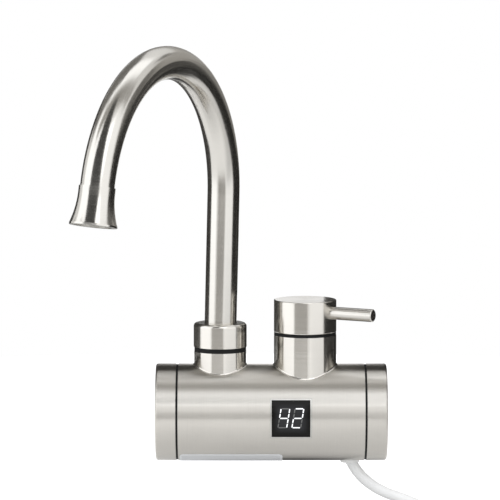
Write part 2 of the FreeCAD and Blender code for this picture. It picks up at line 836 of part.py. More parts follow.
def build_cartridge():
    """The ceramic cartridge: seal, two discs, housing, stem and the nut that holds it down."""
    outer = cartridge_diameter / 2
    inner = outer - cartridge_wall
    disc_radius = inner - fit_clearance
    seal_top = seat_height + seal_height
    fixed_top = seal_top + fixed_disc_height
    moving_bottom = fixed_top + running_clearance
    flange_bottom = moving_bottom + moving_disc_height
    chamber_top = flange_bottom + stem_flange_height + turning_gap
    cup_top = seat_height + cup_height
    housing_top = seat_height + cartridge_height
    stem_radius = stem_diameter / 2
    axis = (zero, axis_y)

    seal = rod(outer, "z", (*axis, seat_height), seal_height, "seal")
    keep(cut(seal, *port_holes(seat_height, seal_height), name="seal_cut"), "cartridge_seal")
    fixed = rod(disc_radius, "z", (*axis, seal_top), fixed_disc_height, "fixed_disc")
    keep(cut(fixed, *port_holes(seal_top, fixed_disc_height), name="fixed_cut"), "fixed_ceramic_disc")
    moving = rod(disc_radius - turning_gap, "z", (*axis, moving_bottom), moving_disc_height, "moving_disc")
    channel = box(
        (-port_spread - port_diameter / 2, port_diameter / 2),
        (axis_y - port_spread, axis_y + port_spread),
        (moving_bottom - moving_disc_height / 2, moving_bottom + moving_disc_height / 2),
    )
    keep(cut(moving, channel, name="moving_cut"), "moving_ceramic_disc")

    housing = turned(
        [
            (inner, zero), (outer, zero), (outer, cup_top - seal_top),
            (outer + cartridge_flange, cup_top - seal_top),
            (outer + cartridge_flange, cup_top + cartridge_flange - seal_top),
            (outer - cartridge_wall, cup_top + cartridge_flange - seal_top),
            (outer - cartridge_wall, housing_top - seal_top),
            (stem_radius + running_clearance, housing_top - seal_top),
            (stem_radius + running_clearance, chamber_top - seal_top), (inner, chamber_top - seal_top),
        ],
        "housing",
    )
    keep(place(housing, *axis, seal_top), "cartridge_housing")

    stem_top = handle_bottom + handle_cavity + stem_engagement
    stem = turned(
        [
            (zero, zero), (disc_radius - turning_gap, zero), (disc_radius - turning_gap, stem_flange_height),
            (stem_radius, stem_flange_height), (stem_radius, stem_top - flange_bottom),
            (zero, stem_top - flange_bottom),
        ],
        "stem",
    )
    keep(place(stem, *axis, flange_bottom), "cartridge_stem")

    thread_radius = outer + cup_wall + running_clearance
    nut_bottom = cup_top - nut_skirt
    nut_top = cup_top + cartridge_flange + nut_wall
    lip = outer - cartridge_wall + fit_clearance
    nut = turned(
        [
            (thread_radius, zero), (thread_radius + nut_wall, zero),
            (thread_radius + nut_wall, nut_top - nut_bottom), (lip, nut_top - nut_bottom),
            (lip, nut_top - nut_wall - nut_bottom),
            (thread_radius, nut_top - nut_wall - nut_bottom),
        ],
        "nut",
    )
    keep(place(nut, *axis, nut_bottom), "cartridge_nut")


def build_handle():
    """The handle: the cap over the turret, its lever, its grub screw and the black ring in the gap."""
    turret_ring = ring(
        turret_radius - ring_recess, turret_radius - neck_wall - ring_recess, "z", (zero, axis_y, turret_top),
        handle_gap - turning_gap, name="gap_ring",
    )
    keep(turret_ring, "turret_ring")

    bore = stem_diameter / 2 + running_clearance
    bore_top = handle_cavity + stem_engagement + turning_gap
    cavity = turret_radius - handle_wall
    cap = turned(
        [
            (bore, handle_cavity), (cavity, handle_cavity), (cavity, zero), (turret_radius, zero),
            (turret_radius, handle_height), (zero, handle_height), (zero, bore_top), (bore, bore_top),
        ],
        "handle",
    )
    rounded(cap, handle_rounding, (turret_radius, handle_height), (turret_radius, zero))
    place(cap, zero, axis_y, handle_bottom)

    lever_z = handle_bottom + lever_height
    lever_root = turret_radius - lever_depth
    lever_length = lever_reach - lever_root
    lever_radius = lever_diameter / 2
    lever = turned(
        [(zero, zero), (lever_radius, zero), (lever_radius, lever_length), (zero, lever_length)], "lever"
    )
    chamfered(lever, lever_chamfer, lever_radius, lever_length)
    radial_place(lever, lever_root, lever_z)
    keep(lever, "handle_lever")

    lever_hole = rod(lever_radius + running_clearance, "z", (zero, zero, zero), lever_length)
    radial_place(lever_hole, lever_root, lever_z)
    grub_length = turret_radius - stem_diameter / 2 - turning_gap * 3
    grub = rod(grub_diameter / 2, "z", (zero, zero, zero), grub_length, "grub")
    radial_place(grub, -(stem_diameter / 2 + turning_gap) - grub_length, lever_z)
    keep(grub, "lever_grub_screw")
    grub_hole = rod(grub_diameter / 2 + running_clearance, "z", (zero, zero, zero), turret_radius)
    radial_place(grub_hole, -turret_radius - running_clearance, lever_z)
    keep(cut(cap, lever_hole, grub_hole, name="handle_drilled"), "handle_cap")


def radial_place(item, distance, height):
    """Lay a piece along the lever's line, starting a distance out from the turret's axis."""
    item.setExpression(
        "Placement",
        f"placement(vector(0; {axis_y.formula}; {height.formula});"
        f" rotation(vector(0; 0; 1); -{lever_heading.formula}))"
        f" * placement(vector({distance.formula}; 0; 0); rotation(vector(0; 1; 0); 90))",
    )


# Inlet at the wall

def build_inlet():
    """The wall connection: nipple, washer, saddle, strainer and rosette."""
    thread_radius = thread_diameter / 2
    inner_end = axis_y + valve_depth / 2 - thread_engagement
    body_back = axis_y + body_radius
    washer_start = body_back + saddle_stand
    collar_start = washer_start + inlet_washer_height
    collar_end = collar_start + collar_thickness
    nipple_length = wall_thread_length - inner_end

    inner_thread = rod(thread_radius, "y", (zero, inner_end, zero), collar_end - inner_end, "inner_thread")
    neck = rod(thread_radius - thread_relief, "y", (zero, collar_start, zero), -collar_start, "relief_neck")
    wall_thread = rod(thread_radius, "y", (zero, zero, zero), wall_thread_length, "wall_thread")
    hexagon = doc.addObject("Part::Prism", "hexagon")
    hexagon.Polygon = 6
    bind(hexagon, Circumradius=collar_flats / 2 / cosine(as_size(30)), Height=collar_thickness)
    place(hexagon, zero, collar_start, zero, vector(1, 0, 0), -90)
    bore = rod(water_bore / 2, "y", (zero, inner_end - water_bore, zero), nipple_length + water_bore * 2)
    keep(cut(fused(inner_thread, neck, wall_thread, hexagon), bore, name="nipple"), "inlet_nipple")

    washer = ring(
        collar_flats / 2, thread_radius + fit_clearance, "y", (zero, washer_start, zero), inlet_washer_height,
        name="washer",
    )
    keep(washer, "inlet_washer")

    saddle_height = body_radius / 4
    spacer = ring(
        saddle_diameter / 2, thread_radius + fit_clearance, "y", (zero, washer_start - saddle_height, zero),
        saddle_height, name="spacer",
    )
    barrel_skin = rod(
        body_radius + running_clearance, "x", (-saddle_diameter, axis_y, zero), saddle_diameter * 2
    )
    keep(cut(spacer, barrel_skin, name="saddle"), "inlet_saddle")

    strainer_radius = water_bore / 2 - running_clearance
    strainer_start = wall_thread_length - strainer_height
    disc = rod(strainer_radius, "y", (zero, strainer_start, zero), strainer_height, "strainer")
    holes = [rod(strainer_hole / 2, "y", (zero, strainer_start - strainer_height, zero), strainer_height * 3)]
    for index in range(6):
        angle = as_size(60 * index)
        x = cosine(angle) * (strainer_radius / 2)
        z = sine(angle) * (strainer_radius / 2)
        hole_start = (x, strainer_start - strainer_height, z)
        holes.append(rod(strainer_hole / 2, "y", hole_start, strainer_height * 3))
    keep(cut(disc, *holes, name="strainer_drilled"), "inlet_strainer")

    inner = thread_radius + fit_clearance
    outer = rosette_diameter / 2
    rim = outer - rosette_wall
    web = rosette_height - rosette_wall
    rosette = turned(
        [
            (rim, zero), (outer, zero), (outer, rosette_height), (inner, rosette_height), (inner, web),
            (rim, web),
        ],
        "rosette",
    )
    rounded(rosette, rosette_rounding, (outer, rosette_height))
    place(rosette, zero, zero, zero, vector(1, 0, 0), 90)
    keep(rosette, "wall_flange")


# Flow switch and heater

flow_y = axis_y - port_spread
flow_right = -valve_width / 2
flow_left = flow_right - flow_length
plate_left = flow_left - plate_thickness
seal_left = plate_left - tank_seal_thickness
tank_left = seal_left - tank_length
tank_radius = tank_diameter / 2
flange_radius = tank_radius + tank_flange_reach
boss_top = tank_radius + tank_boss_rise


def build_flow_switch():
    """The flow switch between the valve and the tank, with its sliding magnet plunger."""
    start = (flow_left, flow_y, zero)
    keep(ring(flow_diameter / 2, flow_bore / 2, "x", start, flow_length, name="flow"), "flow_switch_housing")
    plunger = ring(
        flow_bore / 2 - running_clearance, plunger_bore / 2, "x",
        (flow_right - turning_gap - plunger_length, flow_y, zero), plunger_length, name="plunger",
    )
    keep(plunger, "flow_plunger")
    middle = (flow_left + flow_right) / 2
    reed = box(
        (middle - reed_length / 2, middle + reed_length / 2),
        (flow_y - reed_width / 2, flow_y + reed_width / 2),
        (flow_diameter / 2 - reed_seat, flow_diameter / 2 + reed_height), "reed",
    )
    skin = rod(flow_diameter / 2 + running_clearance, "x", start, flow_length)
    keep(cut(reed, skin, name="reed_seated"), "reed_switch")


def element_lines():
    """The y places of the element's four straight legs, from the front one to the rear one."""
    return [axis_y + element_spacing * (index - 1.5) for index in range(4)]


def build_tank():
    """The heater tank with its end plate, seal and screws."""
    start = (tank_left, axis_y, zero)
    barrel = rod(tank_radius, "x", start, tank_length, "tank_barrel")
    flange = rod(
        flange_radius, "x", (seal_left - tank_flange_thickness, axis_y, zero), tank_flange_thickness
    )
    boss = rod(tank_boss_diameter / 2, "z", (riser_x, axis_y, zero), boss_top)
    hollow = rod(tank_radius - tank_wall, "x", (tank_left + tank_wall, axis_y, zero), tank_length)
    boss_bore = rod(water_bore / 2, "z", (riser_x, axis_y, zero), boss_top * OVERSHOOT)
    screw_circle = (tank_radius + flange_radius) / 2
    screw_start = seal_left - tank_flange_thickness
    screw_length = flow_left - screw_start
    screws = []
    holes = []
    for index in range(4):
        angle = as_size(45 + 90 * index)
        y = axis_y + cosine(angle) * screw_circle
        z = sine(angle) * screw_circle
        shank = rod(tank_screw_diameter / 2, "x", (screw_start, y, z), screw_length)
        head = rod(tank_screw_head_diameter / 2, "x", (flow_left, y, z), tank_screw_head)
        screws.append(fused(shank, head, name="tank_screw"))
        holes.append(rod(tank_screw_diameter / 2, "x", (screw_start, y, z), screw_length))
    keep(grouped(*screws, name="tank_screw_set"), "tank_screws")
    body = cut(fused(barrel, flange, boss), hollow, boss_bore, *holes, name="tank")
    keep(body, "heater_tank")

    seal = ring(flange_radius, tank_radius - tank_wall, "x", (seal_left, axis_y, zero), tank_seal_thickness)
    keep(cut(seal, *holes, name="tank_gasket"), "tank_seal")

    plate = rod(flange_radius, "x", (plate_left, axis_y, zero), plate_thickness, "plate")
    feed = rod(port_diameter, "x", (plate_left - plate_thickness, flow_y, zero), plate_thickness * 3)
    element_holes = [
        rod(
            element_diameter / 2 + running_clearance, "x", (plate_left - plate_thickness, y, -element_drop),
            plate_thickness * 3,
        )
        for y in (element_lines()[0], element_lines()[-1])
    ]
    probe_hole = rod(
        probe_diameter / 2 + running_clearance, "x",
        (plate_left - plate_thickness, axis_y + probe_spread, probe_spread), plate_thickness * 3,
    )
    keep(cut(plate, feed, probe_hole, *element_holes, *holes, name="plate_drilled"), "tank_end_plate")


def build_heater():
    """The tubular element, the temperature probe and the thermal cut-out."""
    front, second, third, rear = (line.number for line in element_lines())
    far = (tank_left + tank_wall + element_inset).number
    near = (plate_left - element_inset).number
    tip = (flow_left + element_pin).number
    height = -element_drop.number
    stops = [
        (tip, front), (far, front), (far, second), (near, second),
        (near, third), (far, third), (far, rear), (tip, rear),
    ]
    points = [vector(x, y, height) for x, y in stops]
    bend = element_spacing.number / 2
    curves = rounded_route(points, [bend] * (len(points) - 2))[0]
    keep(swept_tube(curves, element_diameter.number / 2, "element"), "heating_element")

    y = axis_y + probe_spread
    stick = rod(probe_diameter / 2, "x", (flow_left - probe_reach, y, probe_spread), probe_reach, "stick")
    knob = rod(probe_head_diameter / 2, "x", (flow_left, y, probe_spread), probe_head)
    keep(fused(stick, knob, name="probe"), "temperature_probe")

    disc_x = (tank_left + seal_left) / 2
    disc_start = (disc_x, axis_y, -tank_radius - cutout_height / 2)
    disc = rod(cutout_diameter / 2, "z", disc_start, cutout_height, "disc")
    skin = rod(tank_radius, "x", (tank_left, axis_y, zero), tank_length)
    keep(cut(disc, skin, name="cutout"), "thermal_cutout")


# Electrics

bracket_left = valve_width / 2
board_left = bracket_left + bracket_thickness + standoff_length
board_right = board_left + board_thickness
terminal_bottom = -terminal_drop


def build_electrics():
    """The control board on its bracket, the relay, the terminals and the leads inside the body."""
    half_depth = valve_depth / 2 - bracket_margin
    bracket = box(
        (bracket_left, bracket_left + bracket_thickness), (axis_y - half_depth, axis_y + half_depth),
        (bracket_margin - valve_bottom, valve_top - bracket_margin), "bracket",
    )
    posts = [
        rod(standoff_diameter / 2, "x", (bracket_left + bracket_thickness, y, z), standoff_length, "post")
        for y in (axis_y - half_depth + standoff_inset, axis_y + half_depth - standoff_inset)
        for z in (standoff_inset - valve_bottom + bracket_margin, valve_top - bracket_margin - standoff_inset)
    ]
    keep(fused(bracket, *posts, name="bracket_with_posts"), "board_bracket")

    board = box(
        (board_left, board_right), (axis_y - board_width / 2, axis_y + board_width / 2),
        (-board_drop, board_rise), "pcb",
    )
    lead_start = flow_left + element_pin
    leads = []
    lead_holes = []
    for y in (element_lines()[0], element_lines()[-1]):
        start = (lead_start, y, -element_drop)
        leads.append(rod(lead_diameter / 2, "x", start, board_right - lead_start, "lead"))
        lead_holes.append(
            rod(lead_diameter / 2 + fit_clearance, "x", (bracket_left, y, -element_drop), valve_width)
        )
    keep(cut(board, *lead_holes, name="pcb_drilled"), "control_board")
    keep(grouped(*leads, *mains_cores(), name="leads"), "inner_leads")

    terminal = box(
        (board_right, board_right + terminal_length),
        (axis_y - terminal_width / 2, axis_y + terminal_width / 2),
        (terminal_bottom, terminal_bottom + terminal_height), "terminal",
    )
    keep(terminal, "terminal_block")
    relay = box(
        (board_right, board_right + relay_length), (axis_y - relay_width / 2, axis_y + relay_width / 2),
        (board_rise - relay_height - bracket_margin, board_rise - bracket_margin), "relay",
    )
    keep(relay, "power_relay")


def mains_cores():
    """The three cores that rise from the end of the cord to the terminals."""
    inner_end = from_exit(CORD_ROUTE[0])
    bottom = inner_end.z + turning_gap * 3
    return [
        rod(
            core_diameter / 2, "z", (as_size(inner_end.x), axis_y + core_spacing * step, bottom),
            terminal_bottom - bottom, "core",
        )
        for step in (-1, 0, 1)
    ]


# Spout

def spout_place(item, x=zero, z=zero, turn=zero):
    """Place a piece in the spout's own leaning plane, measured from the foot of the riser."""
    item.setExpression(
        "Placement",
        f"placement(vector({riser_x.formula}; {axis_y.formula}; {tube_foot.formula});"
        f" rotation(vector(0; 0; 1); {spout_heading.formula}))"
        f" * placement(vector(0; 0; 0); rotation(vector(1; 0; 0); -{riser_lean.formula}))"
        f" * placement(vector({x.formula}; 0; {z.formula}); rotation(vector(0; 1; 0); {turn.formula}))",
    )


spigot_bore_radius = spout_neck_diameter / 2 - neck_wall - fit_clearance - socket_wall
tube_foot = collar_bottom + spigot_boss + collar_web


def build_spout_bearing():
    """What the spout turns in: socket, bush, black ring and lock screw."""
    outer = spout_neck_diameter / 2 - neck_wall - fit_clearance
    height = neck_top - boss_top
    bush_outer = spigot_bore_radius + bush_wall
    water = water_bore / 2
    socket = turned(
        [
            (water, zero), (outer, zero), (outer, height), (bush_outer, height),
            (bush_outer, height - bush_height), (spigot_bore_radius, height - bush_height),
            (spigot_bore_radius, socket_floor), (water, socket_floor),
        ],
        "socket",
    )
    place(socket, riser_x, axis_y, boss_top)
    lock_z = neck_top - lock_screw_drop
    lock_inner = spigot_bore_radius - lock_groove_depth + turning_gap
    hole_start = (riser_x, axis_y + spigot_bore_radius / 2, lock_z)
    lock_hole = rod(lock_screw_diameter / 2 + running_clearance, "y", hole_start, spout_neck_diameter)
    keep(cut(socket, lock_hole, name="socket_drilled"), "spout_socket")
    screw = rod(
        lock_screw_diameter / 2, "y", (riser_x, axis_y + lock_inner, lock_z),
        spout_neck_diameter / 2 - lock_inner - turning_gap * 2, "lock",
    )
    keep(screw, "spout_lock_screw")
    bush = ring(
        bush_outer - running_clearance, spigot_bore_radius, "z", (riser_x, axis_y, neck_top - bush_height),
        bush_height, name="bush",
    )
    keep(bush, "spout_bush")
    swivel = ring(
        spout_neck_diameter / 2 - ring_recess, spigot_bore_radius + fit_clearance, "z",
        (riser_x, axis_y, neck_top), ring_height, name="swivel",
    )
    keep(swivel, "swivel_ring")


def build_spout_root():
    """The turning root of the spout: spigot, O-rings and collar."""
    radius = spigot_bore_radius - running_clearance
    groove_floor = radius - o_ring_thickness - running_clearance
    water = water_bore / 2
    bottom = boss_top + socket_floor + turning_gap
    lock_z = neck_top - lock_screw_drop
    lock_half = lock_screw_diameter / 2 + turning_gap
    lock_floor = spigot_bore_radius - lock_groove_depth
    groove_half = o_ring_thickness / 2 + running_clearance
    upper_ring = lock_z - lock_half - groove_land - groove_half
    ring_heights = [upper_ring - o_ring_spacing, upper_ring]
    outline = [(water, zero), (radius, zero)]
    for height in ring_heights:
        for reach, edge in (
            (radius, height - groove_half), (groove_floor, height - groove_half),
            (groove_floor, height + groove_half), (radius, height + groove_half),
        ):
            outline.append((reach, edge - bottom))
    outline += [
        (radius, lock_z - lock_half - bottom), (lock_floor, lock_z - lock_half - bottom),
        (lock_floor, lock_z + lock_half - bottom), (radius, lock_z + lock_half - bottom),
        (radius, collar_bottom + spigot_boss - bottom), (water, collar_bottom + spigot_boss - bottom),
    ]
    spigot = turned(outline, "spigot")
    keep(place(spigot, riser_x, axis_y, bottom), "spout_spigot")

    rings = []
    for height in ring_heights:
        o_ring = doc.addObject("Part::Torus", "o_ring")
        bind(o_ring, Radius1=radius - o_ring_thickness / 2, Radius2=o_ring_thickness / 2)
        rings.append(place(o_ring, riser_x, axis_y, height))
    keep(grouped(*rings, name="o_rings"), "spout_o_rings")

    outer = collar_diameter / 2
    boss_hole = radius + running_clearance
    collar = turned(
        [
            (boss_hole, zero), (outer, zero), (outer, collar_height), (water, collar_height),
            (water, spigot_boss), (boss_hole, spigot_boss),
        ],
        "collar",
    )
    rounded(collar, collar_rounding, (outer, collar_height))
    place(collar, riser_x, axis_y, collar_bottom)
    tube_hole = rod(tube_radius + running_clearance, "z", (zero, zero, zero), collar_height)
    spout_place(tube_hole)
    keep(cut(collar, tube_hole, name="collar_bored"), "spout_collar")


def build_spout_tube():
    """The gooseneck tube: a riser, one bend and a short straight end inside the nozzle."""
    body = doc.addObject("PartDesign::Body", "gooseneck")
    path = new_sketch(body, "XZ_Plane")
    top = riser_length.number
    radius = bend_radius.number
    angle = math.radians(bend_angle.number)
    end = vector(radius - radius * math.cos(angle), top + radius * math.sin(angle), 0)
    way = vector(math.sin(angle), math.cos(angle), 0)
    path.addGeometry(Part.LineSegment(vector(0, 0, 0), vector(0, top, 0)), False)
    circle = Part.Circle(vector(radius, top, 0), vector(0, 0, 1), radius)
    path.addGeometry(Part.ArcOfCircle(circle, math.pi - angle, math.pi), False)
    path.addGeometry(Part.LineSegment(end, end + way * nozzle_socket.number), False)
    path.addConstraint(Sketcher.Constraint("Coincident", 0, 1, -1, 1))
    path.addConstraint(Sketcher.Constraint("Vertical", 0))
    path.addConstraint(Sketcher.Constraint("Tangent", 0, 2, 1, 2))
    path.addConstraint(Sketcher.Constraint("Tangent", 1, 1, 2, 1))
    constrain(path, "DistanceY", 0, 1, 0, 2, size=riser_length)
    constrain(path, "Radius", 1, size=bend_radius)
    constrain(path, "Distance", 2, size=nozzle_socket)
    sweep = path.addConstraint(Sketcher.Constraint("Angle", 1, angle))
    path.setExpression(f"Constraints[{sweep}]", f"{bend_angle.formula} * 1 deg")
    section = new_sketch(body, "XY_Plane")
    circle_in(section, tube_radius)
    circle_in(section, tube_radius - tube_wall)
    doc.recompute()
    pipe = body.newObject("PartDesign::AdditivePipe", "gooseneck_pipe")
    pipe.Profile = section
    pipe.Spine = (path, ["Edge1", "Edge2", "Edge3"])
    spout_place(body)
    keep(body, "spout_tube")


def bend_end():
    """Where the bend ends, out from the riser and up from its foot."""
    out = bend_radius - bend_radius * cosine(bend_angle)
    up = riser_length + bend_radius * sine(bend_angle)
    return out, up


# How many holes each ring of the aerator has, and the ring's share of its radius
AERATOR_RINGS = ((1, 0), (6, 0.35), (12, 0.7))


def build_outlet():
    """The flared nozzle on the end of the spout, with the aerator and its washer."""
    top_radius = tube_radius + running_clearance + nozzle_wall
    outlet = nozzle_outlet / 2
    seat = nozzle_length - aerator_recess - aerator_height - washer_height
    bore = aerator_diameter / 2 + running_clearance
    socket = tube_radius + running_clearance
    tube_stop = nozzle_socket + running_clearance
    passage = tube_radius - tube_wall
    nozzle = turned(
        [
            (top_radius, zero), (top_radius, nozzle_straight), (outlet, nozzle_length - nozzle_lip),
            (outlet, nozzle_length), (bore, nozzle_length), (bore, seat), (passage, seat),
            (passage, tube_stop), (socket, tube_stop), (socket, zero),
        ],
        "nozzle", {1: nozzle_flare},
    )
    out, up = bend_end()
    spout_place(nozzle, out, up, bend_angle)
    keep(nozzle, "outlet_nozzle")

    washer = ring(
        aerator_diameter / 2, passage, "z", (zero, zero, zero), washer_height, name="aerator_ring"
    )
    washer_at = seat
    insert_at = washer_at + washer_height
    along_outlet(washer, washer_at)
    keep(washer, "aerator_washer")

    insert = rod(aerator_diameter / 2, "z", (zero, zero, zero), aerator_height, "insert")
    holes = []
    for count, circle in AERATOR_RINGS:
        for index in range(count):
            angle = as_size(360 * index / count)
            reach = aerator_diameter / 2 * circle
            start = (cosine(angle) * reach, sine(angle) * reach, -aerator_height)
            holes.append(rod(aerator_hole / 2, "z", start, aerator_height * 3))
    drilled = cut(insert, *holes, name="insert_drilled")
    along_outlet(drilled, insert_at)
    keep(drilled, "aerator_insert")


def along_outlet(item, distance):
    """Place a piece on the nozzle's axis, a distance from the nozzle's upper rim."""
    out, up = bend_end()
    spout_place(item, out + sine(bend_angle) * distance, up + cosine(bend_angle) * distance, bend_angle)


# Mains cord

# The cord's route, chosen by hand, from inside the grommet to the coil; counted from the cord's exit
CORD_ROUTE = [
    (-3.55, 0, 7.3), (0.5, 0, -1), (5.3, 0, -8.6), (11.7, 0, -15.35),
    (22.7, 0, -22.6), (39.8, 0, -28.3), (57.6, 0, -36.7), (90.5, 0, -57.4),
    (109.4, 0, -65), (130.3, 0, -68.6), (152.1, 0, -69.25),
    (172.1, -4, -69.25), (190.1, -16, -69.25), (201.1, -34, -69.25), (205.1, -53, -69.25),
    (205.1, -70.5, -69.25),
]

# The tail, from the top of the coil to the plug, counted from the same place
CORD_TAIL = [
    (205.1, -85.5, -60.85), (205.1, -101.5, -60.85), (210.1, -130, -54.5), (210.1, -146, -54.5),
]

ARC_SHARE = 0.45


def from_exit(step):
    """A place of the route, counted from the middle of the grommet's hole in the underside of the body."""
    return vector(cord_exit_offset.number, axis_y.number, -body_radius.number) + vector(*step)


def tilted_place(item, along):
    """Lay a piece on the line on which the cord leaves the body, a distance in from the grommet's face."""
    item.setExpression(
        "Placement",
        f"placement(vector({cord_exit_offset.formula}; {axis_y.formula}; {(-body_radius).formula});"
        f" rotation(vector(0; 1; 0); -{cord_exit_tilt.formula}))"
        f" * placement(vector(0; 0; {along.formula}); rotation(vector(0; 0; 1); 0))",
    )


def build_cord_exit():
    """The rubber grommet where the cord leaves the body, and the stop behind it."""
    flange_start = (cord_exit_offset, axis_y, -body_radius - grommet_flange)
    flange = rod(grommet_diameter / 2, "z", flange_start, grommet_diameter / 2)
    barrel = rod(body_radius, "x", (zero, axis_y, zero), right_reach)
    outer_flange = cut(flange, barrel, name="grommet_flange")
    neck = rod(
        cord_radius + grommet_neck_wall, "z", (cord_exit_offset, axis_y, -body_radius - grommet_flange / 2),
        grommet_flange / 2 + shell_wall + grommet_inner,
    )
    bore = rod(cord_radius + running_clearance, "z", (zero, zero, zero), body_radius)
    tilted_place(bore, -body_radius / 2)
    keep(cut(fused(outer_flange, neck), bore, name="grommet"), "cable_grommet")

    stop = ring(
        stop_diameter / 2, cord_radius + running_clearance, "z", (zero, zero, zero), stop_height, name="stop"
    )
    stop_start = (shell_wall + grommet_inner) / cosine(cord_exit_tilt) + stop_diameter / 2 * tilt_rise()
    tilted_place(stop, stop_start)
    keep(stop, "cord_stop")


def tilt_rise():
    """How much a square face on the tilted cord rises per millimetre across it."""
    return sine(cord_exit_tilt) / cosine(cord_exit_tilt)


def build_cord_stretch(route, name):
    """A free stretch of the cord along straight runs and tangent arcs."""
    points = [from_exit(step) for step in route]
    runs = [(after - before).Length for before, after in zip(points, points[1:])]
    trims = [ARC_SHARE * min(pair) for pair in zip(runs, runs[1:])]
    curves, radii = rounded_route(points, trims)
    print(f"{name}: bend radii", [round(radius, 1) for radius in radii])
    keep(swept_tube(curves, cord_radius.number, name), name)


def coil_points():
    """Places and headings at the coil's quarter turns: in along the lower layer, out along the upper one."""
    quarters = 8
    start = from_exit(CORD_ROUTE[-1]) + vector(0, -cord_diameter.number, 0)
    pitch = coil_pitch.number
    outer = coil_radius.number + pitch / 4
    centre = start - vector(outer, 0, 0)
    stations = []
    for quarter in range(quarters + 1):
        angle = -math.pi / 2 * quarter
        inward = min(quarter, quarters - quarter)
        radius = outer - pitch / 4 * inward
        climb = min(max((quarter - 3) / 2, 0), 1)
        at = centre + vector(radius * math.cos(angle), radius * math.sin(angle), coil_rise.number * climb)
        heading = vector(math.sin(angle), -math.cos(angle), 0)
        if quarter == quarters // 2:
            heading += vector(0, 0, coil_rise.number / (math.pi * radius))
        stations.append((at, heading.normalize()))
    return centre, stations


def biarc(start, start_way, end, end_way):
    """Two tangent arcs between two places with given headings."""
    chord = end - start
    both = start_way + end_way
    spread = 2 * (1 - start_way.dot(end_way))
    along = chord.dot(both)
    reach = (math.sqrt(along ** 2 + spread * chord.dot(chord)) - along) / spread
    first_corner = start + start_way * reach
    second_corner = end - end_way * reach
    middle = (first_corner + second_corner) / 2
    return [corner_arc(start, first_corner, middle), corner_arc(middle, second_corner, end)]


def build_coil():
    """The put-away length of cord: one tube of two loops in two layers, its ends straight."""
    centre, stations = coil_points()
    stub = cord_diameter.number
    first, first_way = stations[0]
    last, last_way = stations[-1]
    curves = [Part.LineSegment(first - first_way * stub, first)]
    for (start, start_way), (end, end_way) in zip(stations, stations[1:]):
        curves += biarc(start, start_way, end, end_way)
    curves.append(Part.LineSegment(last, last + last_way * stub))
    keep(swept_tube(curves, cord_radius.number, "cord_coil"), "cord_coil")
    print(f"cord_coil: least gap to itself {least_gap(curves):.2f} mm")
    build_tie(centre, stations)


def least_gap(curves):
    """The smallest gap between stretches of the coil, measured on points along its middle line."""
    spine = Part.Wire([curve.toShape() for curve in curves])
    samples = spine.discretize(Number=400)
    step = spine.Length / (len(samples) - 1)
    skip = int(coil_radius.number / step)
    least = min(
        (samples[first] - samples[second]).Length
        for first in range(len(samples)) for second in range(first + skip, len(samples))
    )
    return least - cord_diameter.number


def build_tie(centre, stations):
    """The band round the coil's two layers."""
    lower = stations[2][0]
    upper = stations[6][0]
    half = cord_radius + tie_clearance
    outer = half + tie_wall

    def block(reach, width):
        return box(
            (lower.x - reach, lower.x + reach),
            (as_size(centre.y) - width / 2, as_size(centre.y) + width / 2),
            (lower.z - reach, upper.z + reach),
        )

    keep(cut(block(outer, tie_width), block(half, tie_width * 2), name="tie"), "coil_tie")


def build_plug():
    """The moulded mains plug at the end of the cord, with its pins and earth clips."""
    end = from_exit(CORD_TAIL[-1])
    face = plug_diameter / 2
    neck = plug_neck_diameter / 2
    shoulder = plug_neck_length + plug_taper_length
    front = shoulder + plug_face_length
    plug = turned(
        [
            (zero, zero), (neck, zero), (neck, plug_neck_length), (face, shoulder), (face, front),
            (zero, front),
        ],
        "plug",
    )
    rounded(plug, cap_rounding, (face, front), (neck, zero))
    place(plug, as_size(end.x), as_size(end.y), as_size(end.z), vector(1, 0, 0), 90)

    face_y = as_size(end.y) - front
    clips = []
    slots = []
    for side in (-1, 1):
        height = (face - earth_depth) * side + end.z
        reach = height + earth_depth * (2 * side)
        low, high = (height, reach) if side > 0 else (reach, height)
        x_span = (end.x - earth_width / 2, end.x + earth_width / 2)
        slots.append(box(x_span, (face_y - plug_face_length, face_y + plug_face_length), (low, high)))
        top = height + earth_thickness * side
        low, high = (height, top) if side > 0 else (top, height)
        clips.append(
            box(
                (x_span[0] + fit_clearance, x_span[1] - fit_clearance),
                (face_y + cap_rounding, face_y + plug_face_length - fit_clearance), (low, high), "clip",
            )
        )
    pins = []
    for side in (-1, 1):
        x = end.x + pin_spacing / 2 * side
        pin_start = (x, face_y - pin_length, as_size(end.z))
        pins.append(rod(pin_diameter / 2, "y", pin_start, pin_length + pin_root, "pin"))
    keep(cut(plug, *slots, *pin_holes(end, face_y), name="plug_cut"), "plug_body")
    keep(grouped(*pins, *clips, name="contacts"), "plug_contacts")


def pin_holes(end, face_y):
    """Tools for the holes that hold the pins in the plug."""
    return [
        rod(
            pin_diameter / 2 + running_clearance, "y",
            (end.x + pin_spacing / 2 * side, face_y - pin_length, as_size(end.z)), pin_length + pin_root,
        )
        for side in (-1, 1)
    ]


# The whole tap

build_shell()
build_caps()
build_label()
build_display()
build_valve()
build_cartridge()
build_handle()
build_inlet()
build_flow_switch()
build_tank()
build_heater()
build_electrics()
build_spout_bearing()
build_spout_root()
build_spout_tube()
build_outlet()
build_cord_exit()
build_cord_stretch(CORD_ROUTE, "cord_run")
build_coil()
build_cord_stretch(CORD_TAIL, "cord_tail")
build_plug()

doc.recompute()

for item in doc.Objects:
    if "Invalid" in item.State or "Error" in item.State:
        raise ValueError(f"{item.Label}: {item.State}")

os.makedirs("parts", exist_ok=True)
for node in nodes:
    if node.Shape.isNull() or not node.Shape.isValid():
        raise ValueError(f"{node.Label}: not a valid solid")
    node.Shape.exportStep(f"parts/{node.Label}.step")
print(len(nodes), "pieces")
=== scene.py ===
"""Wall-mounted electric heater tap: the looks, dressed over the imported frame."""

import logging
import math
from dataclasses import dataclass
from enum import Enum

